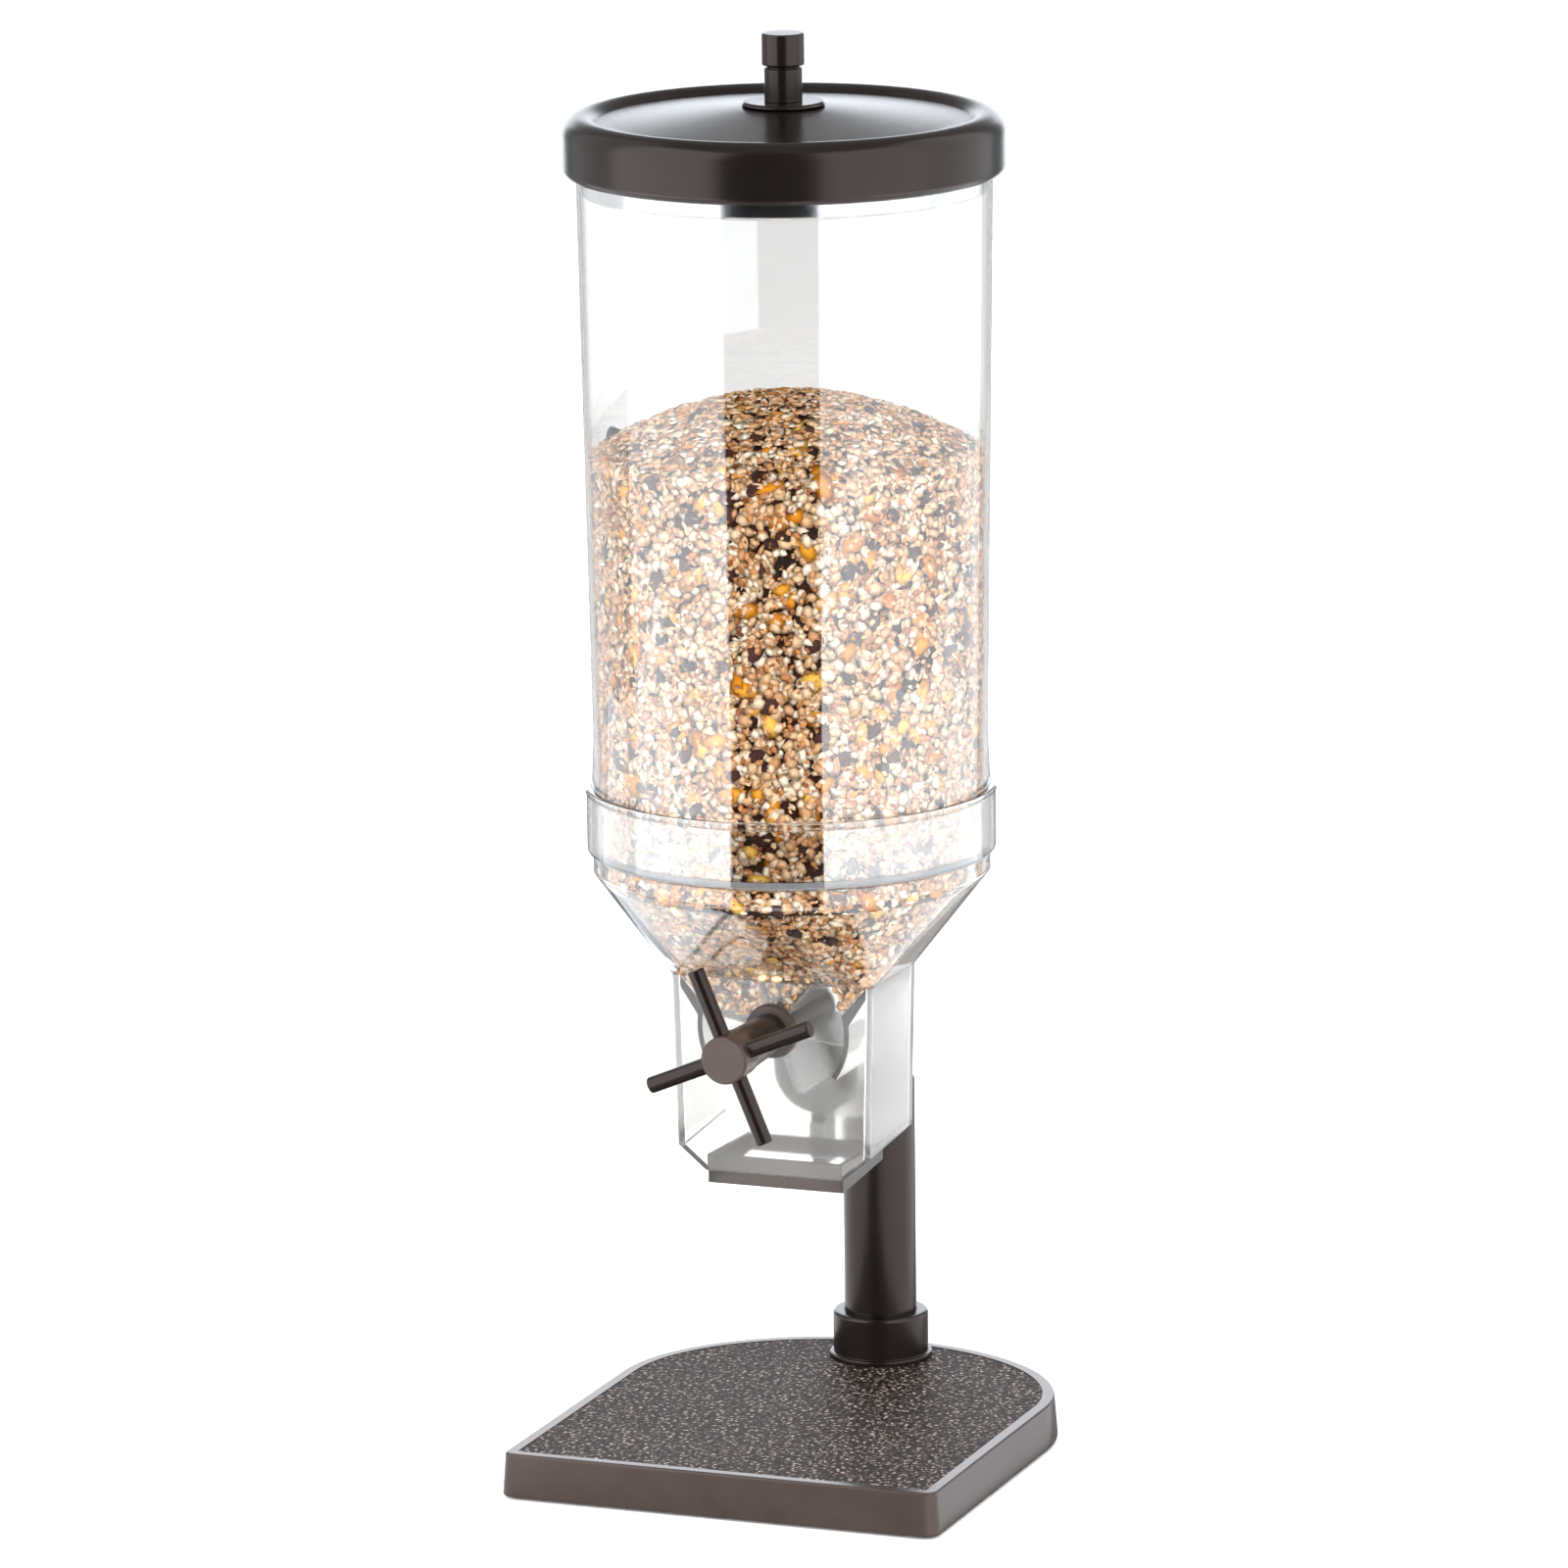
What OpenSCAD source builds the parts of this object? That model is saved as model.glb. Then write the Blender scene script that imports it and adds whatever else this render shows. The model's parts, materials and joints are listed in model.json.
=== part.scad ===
// Cereal dispenser: a clear container with a portioning wheel, hung on a post over a weighted base.
// Origin: centre of the underside. +Z is up and the star knob faces -Y.

/* [Base] */
// Width of the base at its foot
base_w = 176; // [172:1:190]
// Depth of the base at its foot
base_d = 202.5; // [200:0.5:215]
// Height of the base's top above the table
base_h = 18; // [17.5:0.5:20]
// How much narrower each side is at the top of the base
base_flare = 1.3; // [1:0.1:2.5]
// Width of the flat border around the grained panel
base_border = 4.7; // [3:0.1:6]

/* [Post] */
// Outside diameter of the post
post_d = 28; // [27:0.5:29]
// Height of the post's top above the table
post_top = 129; // [127:0.5:129.5]
// Distance from the post's axis to the back edge of the base
post_back = 23.5; // [23.5:0.5:26]
// Outside diameter of the collar
collar_d = 37; // [35:0.5:37]
// Height of the collar
collar_h = 18.5; // [14:0.5:24]

/* [Container] */
// Outside diameter of the clear tube at its top
tube_top_d = 158.4; // [156:0.2:162]
// Outside diameter of the clear tube at its bottom
tube_bottom_d = 150; // [148:0.5:152]
// Height of the top of the lid's handle above the table
total_h = 550; // [520:1:580]
// Wall of the tube, the funnel and the neck
wall = 2.5; // [2.2:0.1:2.6]
// Distance from the tube's axis to the front edge of the base
tube_front = 88; // [87:0.5:90]

/* [Funnel and neck] */
// Height of the ring that holds the tube
ring_h = 25.3; // [20:0.1:30]
// Width of the neck where it meets the funnel
neck_w = 81; // [80:0.5:82]
// Depth of the neck
neck_d = 48; // [47.5:0.5:49]
// Height of the spout's lowest edge above the table
spout_z = 112.2; // [111:0.2:114]
// Outside width of the spout's ring
spout_w = 54.6; // [50:0.2:56]
// Slope of the spout's mouth, up towards the post
spout_tilt = 4; // [0:0.5:6]

/* [Portioning wheel] */
// Height of the wheel's shaft above the table
shaft_z = 174; // [173:0.5:175]
// Diameter of the shaft
shaft_d = 8; // [7:0.5:8]
// Radius of the wheel at the tips of its paddles
wheel_r = 27.5; // [26:0.5:28]
// Thickness of each soft paddle
paddle_t = 2; // [1.6:0.1:2.4]

/* [Star knob] */
// Reach of each arm from the shaft's axis
arm_reach = 35; // [28:1:42]
// Diameter of each arm
arm_d = 6.4; // [5.6:0.2:7]
// Diameter of the hub
star_d = 18.4; // [18:0.2:20]
// Distance from the tube's axis to the hub's front face
star_front = 73.4; // [72:0.2:76]
// Turn of the first arm from the level
arm_turn = 22.7; // [0:0.1:90]

/* [Lid] */
// Height of the lid's rolled side
lid_h = 22.7; // [21:0.1:24]
// Diameter of the handle's cap
cap_d = 16; // [15:0.5:18]

/* [Cereal] */
// Height of the heap's crown above the table
heap_crown = 415; // [390:5:450]
// Height of the heap's edge above the table
heap_edge = 393; // [330:1:393]

/* [Hidden] */

$fn = 96;
satin_brown = [0.24, 0.2, 0.19];
steel_grey = [0.6, 0.6, 0.62];
clear_tint = [0.85, 0.9, 0.92, 0.35];
frosted_tint = [0.8, 0.82, 0.83, 0.6];
seal_grey = [0.72, 0.72, 0.72];
rubber_black = [0.1, 0.1, 0.1];
smoke_brown = [0.4, 0.37, 0.36, 0.8];
eps = 0.01;

// Gap between pieces that fit into each other and don't turn
fit_gap = 0.05;
// Radial clearance of the turning shaft in its two bushings
run_gap = 0.05;
// Gap between the container and the stand that it hangs on
hang_gap = 0.3;

foot_t = 1.2;
cover_t = 1.5;
base_wall = 6.5;
skin_t = 4.8;
panel_t = 1;
panel_sink = 0.2;
seat_z = base_h - panel_t - panel_sink;
corner_r = 6;
back_depth = 77.3;
weight_top = 10.5;
cover_screw_r = 1.5;
cover_screw_l = 8;
screw_boss_r = 4.5;
screw_spots = [[-70, -86], [70, -86], [-70, 22], [70, 22]];
foot_spots = [[-64, -70], [64, -70], [-56, 48], [56, 48]];
foot_r = 8;

container_y = tube_front - base_d / 2;
post_y = base_d / 2 - post_back;
post_wall = 2;
plug_r = post_d / 2 - post_wall - fit_gap;
lower_plug_top = 50;
upper_plug_l = 26;
upper_plug_rim = 1.5;
collar_bead = 1.5;
post_screw_r = 4;
post_screw_l = 36;
post_boss_r = 20;
washer_r = 9;
washer_seat = 8;
washer_t = 1.6;
screw_head_h = 4.5;

neck_front = -23.5;
neck_back = neck_front + neck_d;
neck_top = 193;
funnel_top = 232.7;
neck_draft = 1.7;
lip_h = 5.3;
lip_half = 28;
chamfer_h = 14.3;
spout_ring_h = 11.5;
spout_ring_t = 1.8;
spout_ring_drop = 5.2;
ring_base = funnel_top + 8;
ring_out = 2.2;
ledge_z = ring_base + 0.5;
seal_t = 2;
ring_top = ring_base + ring_h;
tube_foot = ledge_z + seal_t;
tube_mouth = total_h - 42;

hub_r = 8.6;
paddle_count = 6;
paddle_turn = 50;
paddle_root = hub_r - 2.6;
paddle_corner = 4;
chamber_r = wheel_r + 1.1;
chamber_t = 2;
wheel_front = neck_front + wall + 1.4;
wheel_back = neck_back - wall - 1.4;
front_sleeve_r = 7.5;
rear_sleeve_r = 6.5;
flange_r = 10;
flange_t = 2.2;

finger_front = 26.5;
finger_back = 37.6;
finger_low = 110;
finger_high = 163;
arm_low = post_top + upper_plug_rim;
arm_top = arm_low + 13;
hanger_t = 5.9;
arm_screw_r = 1.5;
arm_screw_spots = [post_y - 5, post_y + 5];
socket_half = 17;
socket_low = 131.2;
socket_top = 163;
pad_low = 113;
pad_high = 127;

lid_t = 1.2;
lid_d = tube_top_d + 7.2;
lid_rim = tube_mouth + 12.3;
lid_edge = lid_rim - lid_h;
lid_crown = tube_mouth + 15;
bead_r = 7.5;
lip_r = 3.2;
washer_top_r = 15;
knob_screw_r = 2.5;
knob_hole_r = knob_screw_r + 0.2;
stem_r = 7.1;
cap_r = cap_d / 2;
cap_h = 11.9;
stem_low = total_h - cap_h - 13.5;
stem_high = total_h - cap_h;

star_neck = 6.8;
arm_start = 5.2;
star_disc_t = 13;
boss_front = -star_front + star_disc_t;
boss_back = neck_front - flange_t - 0.4;
boss_back_r = 7.4;
set_screw_r = 2;
set_screw_low = 7.6;

// Points of an arc in a plane, from the first angle to the last
function arc(centre, radius, from, to, steps) =
    [for (i = [0:steps]) let (a = from + (to - from) * i / steps) centre + radius * [cos(a), sin(a)]];

// Plan of the base: straight front and sides, and a half ellipse at the back
function base_points(inset) =
    let (half = base_w / 2 - inset,
         front = -base_d / 2 + inset,
         spring = base_d / 2 - back_depth,
         depth = back_depth - inset,
         r = max(corner_r - inset, 1))
    concat(arc([-half + r, front + r], r, 180, 270, 5),
           arc([half - r, front + r], r, 270, 360, 5),
           [for (a = [0:6:180]) [half * cos(a), spring + depth * sin(a)]]);

// Inner radius of the clear tube at a height
function tube_r(z) =
    (tube_bottom_d + (tube_top_d - tube_bottom_d) * (z - tube_foot) / (tube_mouth - tube_foot)) / 2 - wall;

module at_container() { translate([0, container_y, 0]) children(); }
module at_post() { translate([0, post_y, 0]) children(); }
module at_spots(spots, z) { for (spot = spots) translate([spot[0], spot[1], z]) children(); }

// A prism of the base's plan, between two heights
module base_prism(inset, low, high) {
    translate([0, 0, low]) linear_extrude(high - low) polygon(base_points(inset));
}

module tube_of(r_out, r_in, low, high) {
    translate([0, 0, low]) difference() {
        cylinder(r = r_out, h = high - low);
        translate([0, 0, -1]) cylinder(r = r_in, h = high - low + 2);
    }
}

// A cylinder along Y at the shaft's height, between two depths behind the tube's axis
module shaft_cylinder(r1, r2, front, back) {
    at_container() translate([0, front, shaft_z]) rotate([-90, 0, 0])
        cylinder(r1 = r1, r2 = r2, h = back - front);
}

// ---- Stand ----

module base_body() {
    levels = [[foot_t, 0.6], [foot_t + 1, 0], [base_h - 1, base_flare], [base_h - 0.3, base_flare + 0.3],
              [base_h, base_flare + 1]];
    hull() for (level = levels) base_prism(level[1], level[0] - eps, level[0]);
}

module base_cavity() {
    difference() {
        base_prism(base_wall, 0, base_h - skin_t);
        at_post() cylinder(r = post_boss_r, h = base_h);
        at_spots(screw_spots, 0) cylinder(r = screw_boss_r, h = base_h);
    }
}

module base_plate() {
    color(satin_brown) difference() {
        base_body();
        base_prism(base_flare + base_border, seat_z, base_h + 1);
        base_cavity();
        base_prism(base_wall - 2, 0, foot_t + cover_t);
        at_post() {
            cylinder(r = post_screw_r + 0.2, h = base_h + 1);
            cylinder(r = washer_r + 0.5, h = washer_seat);
            translate([0, 0, seat_z]) cylinder(r = collar_d / 2 + collar_bead + fit_gap, h = base_h);
        }
        at_spots(screw_spots, 0) cylinder(r = cover_screw_r + fit_gap, h = weight_top + 1);
    }
}

module base_panel() {
    color([0.2, 0.17, 0.16]) difference() {
        base_prism(base_flare + base_border + fit_gap, seat_z, seat_z + panel_t);
        at_post() cylinder(r = collar_d / 2 + collar_bead + fit_gap, h = base_h + 1);
    }
}

module base_weight() {
    color(steel_grey) difference() {
        base_prism(base_wall + 3, foot_t + cover_t, weight_top);
        at_post() cylinder(r = post_boss_r + 1, h = base_h);
        at_spots(screw_spots, 0) cylinder(r = screw_boss_r + 1, h = base_h);
    }
}

module base_cover() {
    color(rubber_black) difference() {
        base_prism(base_wall - 2 + fit_gap, foot_t, foot_t + cover_t);
        at_post() cylinder(r = washer_r + 1.5, h = base_h);
        at_spots(screw_spots, foot_t - eps)
            cylinder(r1 = 2 * cover_screw_r + 0.1, r2 = cover_screw_r + 0.1, h = cover_t + 2 * eps);
    }
}

module base_feet() {
    color(rubber_black) at_spots(foot_spots, 0) cylinder(r = foot_r, h = foot_t);
}

module cover_screws() {
    color(steel_grey) at_spots(screw_spots, foot_t) {
        cylinder(r1 = 2 * cover_screw_r, r2 = cover_screw_r, h = cover_t);
        translate([0, 0, cover_t]) cylinder(r = cover_screw_r, h = cover_screw_l);
    }
}

module post_tube() {
    color(satin_brown) at_post() tube_of(post_d / 2, post_d / 2 - post_wall, seat_z, post_top);
}

module post_collar() {
    top = base_h + collar_h;
    outer = collar_d / 2;
    soft = 1.5;
    color(satin_brown) at_post() rotate_extrude()
        polygon(concat([[post_d / 2 + fit_gap, seat_z], [outer, seat_z]],
                       arc([outer, seat_z + collar_bead], collar_bead, -90, 90, 8),
                       arc([outer - soft, top - soft], soft, 0, 90, 5),
                       [[post_d / 2 + fit_gap, top]]));
}

module post_lower_plug() {
    color(steel_grey) at_post() tube_of(plug_r, post_screw_r + fit_gap, seat_z, lower_plug_top);
}

module post_screw() {
    head_top = washer_seat - washer_t;
    color(steel_grey) at_post() difference() {
        union() {
            translate([0, 0, head_top - screw_head_h]) cylinder(r = 1.6 * post_screw_r, h = screw_head_h);
            translate([0, 0, head_top]) cylinder(r = post_screw_r, h = post_screw_l);
        }
        cylinder(r = 0.75 * post_screw_r, h = head_top - 2, $fn = 6);
    }
}

module post_washer() {
    color(steel_grey) at_post()
        tube_of(washer_r, post_screw_r + fit_gap, washer_seat - washer_t, washer_seat);
}

module post_top_plug() {
    color(satin_brown) difference() {
        at_post() {
            translate([0, 0, post_top - upper_plug_l]) cylinder(r = plug_r, h = upper_plug_l);
            translate([0, 0, post_top]) cylinder(r1 = post_d / 2, r2 = post_d / 2 - 0.8, h = upper_plug_rim);
        }
        for (y = arm_screw_spots)
            translate([0, y, post_top - 12]) cylinder(r = arm_screw_r + fit_gap, h = 20);
    }
}

// A flat bar that runs forward from the post and ends in an upright finger
module hanger_arm() {
    front = container_y + finger_front;
    back = container_y + finger_back;
    end = post_y + 11.5;
    soft = 1.5;
    color(satin_brown) difference() {
        translate([-hanger_t / 2, 0, 0]) rotate([90, 0, 90]) linear_extrude(hanger_t)
            polygon([[front, finger_low], [back, finger_low], [back, arm_low], [end, arm_low],
                     [end, arm_top], [back, arm_top], [back, finger_high - soft],
                     [back - soft, finger_high], [front + soft, finger_high], [front, finger_high - soft]]);
        for (y = arm_screw_spots) translate([0, y, arm_low - 1]) cylinder(r = arm_screw_r + 0.1, h = 20);
    }
}

// The soft pad that the lower end of the neck leans on
module rest_pad() {
    front = neck_back + hang_gap;
    color(seal_grey) at_container() translate([-hanger_t / 2, front, pad_low])
        cube([hanger_t, finger_front - front, pad_high - pad_low]);
}

module arm_screws() {
    color(steel_grey) for (y = arm_screw_spots) translate([0, y, 0]) {
        translate([0, 0, post_top - 10]) cylinder(r = arm_screw_r, h = arm_top - post_top + 10);
        difference() {
            translate([0, 0, arm_top]) cylinder(r = 1.8 * arm_screw_r, h = 3);
            translate([0, 0, arm_top + 1.5]) cylinder(r = 0.9 * arm_screw_r, h = 2, $fn = 6);
        }
    }
}

// ---- Container ----

module container_tube() {
    foot = tube_bottom_d / 2;
    mouth = tube_top_d / 2;
    lip = 0.8;
    color(clear_tint) at_container() rotate_extrude()
        polygon(concat([[foot - wall, tube_foot], [foot, tube_foot]],
                       arc([mouth - lip, tube_mouth - lip], lip, 0, 90, 4),
                       arc([mouth - wall + lip, tube_mouth - lip], lip, 90, 180, 4)));
}

module tube_seal() {
    color(seal_grey) at_container() tube_of(tube_bottom_d / 2, tube_bottom_d / 2 - wall, ledge_z, tube_foot);
}

// Round-to-rectangle funnel shape, drawn in by an inset on every side
module funnel_shape(inset, low) {
    hull() {
        translate([0, 0, funnel_top - eps]) cylinder(r = tube_bottom_d / 2 - inset, h = eps);
        translate([-neck_w / 2 + inset, neck_front + inset, low])
            cube([neck_w - 2 * inset, neck_d - 2 * inset, eps]);
    }
}

module funnel() {
    barrel = tube_bottom_d / 2;
    seat = barrel + 0.4;
    outer = barrel + ring_out;
    rim = outer + 0.6;
    low = funnel_top - eps;
    color(clear_tint) at_container() {
        difference() {
            funnel_shape(0, neck_top);
            funnel_shape(wall, neck_top - eps);
        }
        rotate_extrude()
            polygon(concat([[barrel - wall, low], [barrel, low], [barrel, ring_base - 0.8]],
                           arc([outer - 1, ring_base + 0.2], 1, -90, 0, 4),
                           [[outer, ring_top - 3], [rim, ring_top - 2.4]],
                           arc([rim - 1, ring_top - 1], 1, 0, 90, 4),
                           [[seat, ring_top], [seat, ledge_z], [barrel - wall, ledge_z]]));
    }
}

// The neck's section seen from the front, drawn in by an inset: drafted sides and a chamfered lower end
module neck_section(inset, low) {
    shoulder = (neck_top - spout_z) * cos(spout_tilt) - neck_d * sin(spout_tilt);
    top = neck_w / 2 - inset;
    fold = top - neck_draft;
    mouth = lip_half - inset;
    polygon([[top, shoulder + 20], [-top, shoulder + 20], [-top, shoulder], [-fold, chamfer_h],
             [-mouth, lip_h], [-mouth, low], [mouth, low], [mouth, lip_h],
             [fold, chamfer_h], [top, shoulder]]);
}

// Everything between two heights above the spout's sloping plane
module above_spout(low, high) {
    translate([-neck_w, neck_front, spout_z]) rotate([spout_tilt, 0, 0])
        translate([0, -neck_d, low]) cube([2 * neck_w, 3 * neck_d, high - low]);
}

module neck_solid(inset, low) {
    intersection() {
        translate([-neck_w, neck_front + inset, spout_z - 10])
            cube([2 * neck_w, neck_d - 2 * inset, neck_top - spout_z + 10]);
        translate([0, neck_front, spout_z]) rotate([90 + spout_tilt, 0, 0])
            translate([0, 0, -2 * neck_d]) linear_extrude(3 * neck_d) neck_section(inset, low);
    }
}

// The straight duct of the spout, drawn in by an inset, between two heights above its sloping plane
module spout_duct(inset, low, high) {
    half = spout_w / 2 - inset;
    front = neck_front + wall + fit_gap + inset;
    back = neck_back - wall - fit_gap - inset;
    intersection() {
        translate([-half, front, spout_z - 20]) cube([2 * half, back - front, 60]);
        above_spout(low, high);
    }
}

module neck_housing() {
    front_hole = front_sleeve_r + fit_gap;
    rear_hole = rear_sleeve_r + fit_gap;
    color(frosted_tint) difference() {
        at_container() difference() {
            neck_solid(0, lip_h - eps);
            translate([0, 0, eps]) neck_solid(wall, 0);
            spout_duct(-fit_gap, -1, spout_ring_h + 1);
        }
        shaft_cylinder(front_hole, front_hole, neck_front - 1, neck_front + wall + 1);
        shaft_cylinder(rear_hole, rear_hole, neck_back - wall - 1, neck_back + 1);
    }
}

// A short rectangular duct whose upper edge falls towards the rear
module spout_ring() {
    fall = atan(spout_ring_drop / neck_d);
    color(smoke_brown) at_container() difference() {
        spout_duct(0, 0, spout_ring_h);
        spout_duct(spout_ring_t, -1, spout_ring_h + 1);
        translate([-neck_w, neck_front, spout_z + spout_ring_h]) rotate([spout_tilt - fall, 0, 0])
            cube([2 * neck_w, 3 * neck_d, 20]);
    }
}

// One curved side wall of the chamber, with the chute that leads down to it
module chamber_side() {
    tip = 15;
    low = -35;
    chute_t = 4;
    inner = arc([0, shaft_z], chamber_r, tip, low, 10);
    outer = arc([0, shaft_z], chamber_r + chamber_t, low, tip - 8, 8);
    side = neck_w / 2 - wall - 0.5;
    top = neck_top - 0.5;
    polygon(concat([[side, top]], inner, outer, [[side, top - chute_t]]));
}

module metering_chamber() {
    color(frosted_tint) at_container() translate([0, neck_back - wall, 0]) rotate([90, 0, 0])
        linear_extrude(neck_d - 2 * wall) {
            chamber_side();
            mirror([1, 0, 0]) chamber_side();
        }
}

module front_bushing() {
    bore = shaft_d / 2 + run_gap;
    color(satin_brown) difference() {
        union() {
            shaft_cylinder(flange_r, flange_r + 0.5, neck_front - flange_t, neck_front);
            shaft_cylinder(front_sleeve_r, front_sleeve_r, neck_front - eps, neck_front + wall);
        }
        shaft_cylinder(bore, bore, neck_front - 5, neck_front + 5);
    }
}

module rear_bushing() {
    bore = shaft_d / 2 + run_gap;
    color(satin_brown) difference() {
        union() {
            shaft_cylinder(rear_sleeve_r, rear_sleeve_r, neck_back - wall - eps, neck_back);
            shaft_cylinder(flange_r - 1, flange_r - 1, neck_back - wall - 0.8, neck_back - wall);
        }
        shaft_cylinder(bore, bore, neck_back - wall - 2, neck_back - 0.8);
    }
}

// A block behind the neck with a pocket that drops over the stand's finger
module rear_socket() {
    depth = finger_back + 3.4 - neck_back;
    slot = hanger_t / 2 + 0.15;
    centre_z = socket_low + socket_half;
    below = socket_low - 1;
    color(frosted_tint) at_container() difference() {
        translate([0, neck_back + depth, 0]) rotate([90, 0, 0]) linear_extrude(depth) union() {
            translate([0, centre_z]) circle(r = socket_half);
            translate([-socket_half, centre_z]) square([2 * socket_half, socket_top + 3.5 - centre_z]);
        }
        translate([-slot, finger_front - hang_gap, below])
            cube([2 * slot, finger_back - finger_front + 2 * hang_gap, finger_high + hang_gap - below]);
        translate([-slot, finger_back - 1, below]) cube([2 * slot, 8, arm_top + hang_gap - below]);
    }
}

module cereal_fill() {
    gap = wall + 0.4;
    chute = neck_w / 2 - wall - 1;
    low = funnel_top - 1;
    foot_r = tube_bottom_d / 2 - gap;
    crown_r = tube_r(heap_edge) - 0.4;
    heap = [for (i = [12:-1:0]) let (x = i / 12)
            [x * crown_r, heap_edge + (heap_crown - heap_edge) * (1 - x * x)]];
    color([0.8, 0.62, 0.38]) difference() {
        at_container() union() {
            funnel_shape(gap, neck_top);
            rotate_extrude() polygon(concat([[0, low], [foot_r - 1.6, low], [foot_r, low + 1.2]], heap));
            translate([0, neck_back - gap, 0]) rotate([90, 0, 0]) linear_extrude(neck_d - 2 * gap)
                polygon([[-chute, neck_top + eps], [-chamber_r + 0.6, shaft_z + 9],
                         [chamber_r - 0.6, shaft_z + 9], [chute, neck_top + eps]]);
        }
        shaft_cylinder(chamber_r, chamber_r, neck_front, neck_back);
    }
}

// ---- Lid ----

module lid_shell() {
    outer = lid_d / 2;
    bead = [outer - bead_r, lid_rim - bead_r];
    lip = [outer - lip_r, lid_edge + lip_r];
    flat_r = 2 * knob_screw_r + 1;
    color(satin_brown) at_container() rotate_extrude()
        polygon(concat([[knob_hole_r, lid_crown], [washer_top_r, lid_crown - 0.2]],
                       arc(bead, bead_r, 140, 0, 16),
                       arc(lip, lip_r, 0, -90, 6),
                       arc(lip, lip_r - lid_t, -90, 0, 6),
                       arc(bead, bead_r - lid_t, 0, 140, 16),
                       [[flat_r, lid_crown - lid_t], [knob_hole_r, lid_crown - lid_t]]));
}

module lid_liner() {
    guide = tube_r(lid_edge - 8) - 0.5;
    rim = lid_d / 2 - lid_t - fit_gap;
    low = lid_edge - 6;
    seat = tube_mouth + 2;
    color(seal_grey) at_container() rotate_extrude()
        polygon([[guide - 2.2, low], [guide - 0.6, low], [guide, low + 1], [guide, seat], [rim, seat],
                 [rim, seat + 2], [guide - 2.2, seat + 2]]);
}

module lid_seal() {
    rim = tube_top_d / 2;
    color(rubber_black) at_container()
        tube_of(rim + 1.2, rim - wall - 0.2, tube_mouth + hang_gap, tube_mouth + 2);
}

module lid_washer() {
    color(satin_brown) at_container() rotate_extrude()
        polygon([[knob_hole_r, lid_crown], [washer_top_r, lid_crown - 0.2],
                 [washer_top_r + 0.8, lid_crown + 0.4], [washer_top_r + 0.2, stem_low - 0.2],
                 [washer_top_r - 0.4, stem_low], [knob_hole_r, stem_low]]);
}

module knob_stem() {
    groove_r = stem_r - 0.9;
    bore = knob_screw_r + 0.1;
    color(satin_brown) at_container() rotate_extrude()
        polygon([[bore, stem_low], [stem_r, stem_low], [stem_r, stem_high - 1.2],
                 [groove_r, stem_high - 0.9], [groove_r, stem_high], [0, stem_high],
                 [0, stem_high - 4], [bore, stem_high - 4]]);
}

module knob_cap() {
    soft = 0.8;
    color(satin_brown) at_container() rotate_extrude()
        polygon(concat([[0, stem_high], [cap_r - 0.5, stem_high], [cap_r, stem_high + 0.5]],
                       arc([cap_r - soft, total_h - soft], soft, 0, 90, 4),
                       [[0, total_h]]));
}

module knob_screw() {
    seat = lid_crown - lid_t;
    head_h = 3.2;
    color(steel_grey) at_container() {
        translate([0, 0, seat - head_h]) cylinder(r = 2 * knob_screw_r, h = head_h);
        translate([0, 0, seat]) cylinder(r = knob_screw_r, h = 12);
    }
}

// ---- Portioning wheel and star knob ----

module rotor_shaft() {
    color(steel_grey)
        shaft_cylinder(shaft_d / 2, shaft_d / 2, -star_front + star_neck + 0.2, neck_back - 1.2);
}

module rotor_hub() {
    bore = shaft_d / 2 + fit_gap;
    color(satin_brown) difference() {
        shaft_cylinder(hub_r, hub_r, wheel_front, wheel_back);
        shaft_cylinder(bore, bore, wheel_front - 1, wheel_back + 1);
        for (i = [0:paddle_count - 1]) paddle_blade(i, fit_gap, 5);
    }
}

// A blade with two rounded outer corners, grown by a gap on every side
module paddle_blade(index, gap, extra) {
    corner = paddle_corner;
    root = paddle_root - gap;
    low = wheel_front - gap - extra;
    high = wheel_back + gap + extra;
    at_container() translate([0, 0, shaft_z]) rotate([0, -paddle_turn - index * 360 / paddle_count, 0])
        translate([0, 0, -paddle_t / 2 - gap]) linear_extrude(paddle_t + 2 * gap)
            polygon(concat([[root, low]],
                           arc([wheel_r - corner, low + corner], corner, -90, 0, 5),
                           arc([wheel_r - corner, high - corner], corner, 0, 90, 5),
                           [[root, high]]));
}

module paddle(index) {
    color(frosted_tint) paddle_blade(index, 0, 0);
}

module thrust_washer() {
    bore = shaft_d / 2 + fit_gap;
    color(seal_grey) difference() {
        shaft_cylinder(hub_r - 1.6, hub_r - 1.6, neck_front + wall + 0.3, wheel_front - 0.1);
        shaft_cylinder(bore, bore, neck_front, wheel_front);
    }
}

module star_boss() {
    bore = shaft_d / 2 + fit_gap;
    color(satin_brown) difference() {
        shaft_cylinder(star_d / 2 - 0.6, boss_back_r, boss_front, boss_back);
        shaft_cylinder(bore, bore, boss_front - 1, boss_back + 1);
        at_set_screw(12) cylinder(r = set_screw_r + fit_gap, h = 12);
    }
}

// Stands a piece in the middle of the boss, pointing up at the shaft from a depth under its axis
module at_set_screw(depth) {
    at_container() translate([0, (boss_front + boss_back) / 2, shaft_z - depth]) children();
}

module boss_set_screw() {
    color(steel_grey) at_set_screw(set_screw_low) difference() {
        cylinder(r = set_screw_r, h = set_screw_low - shaft_d / 2 - 0.1);
        translate([0, 0, -1]) cylinder(r = set_screw_r / 2, h = 2.4, $fn = 6);
    }
}

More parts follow.
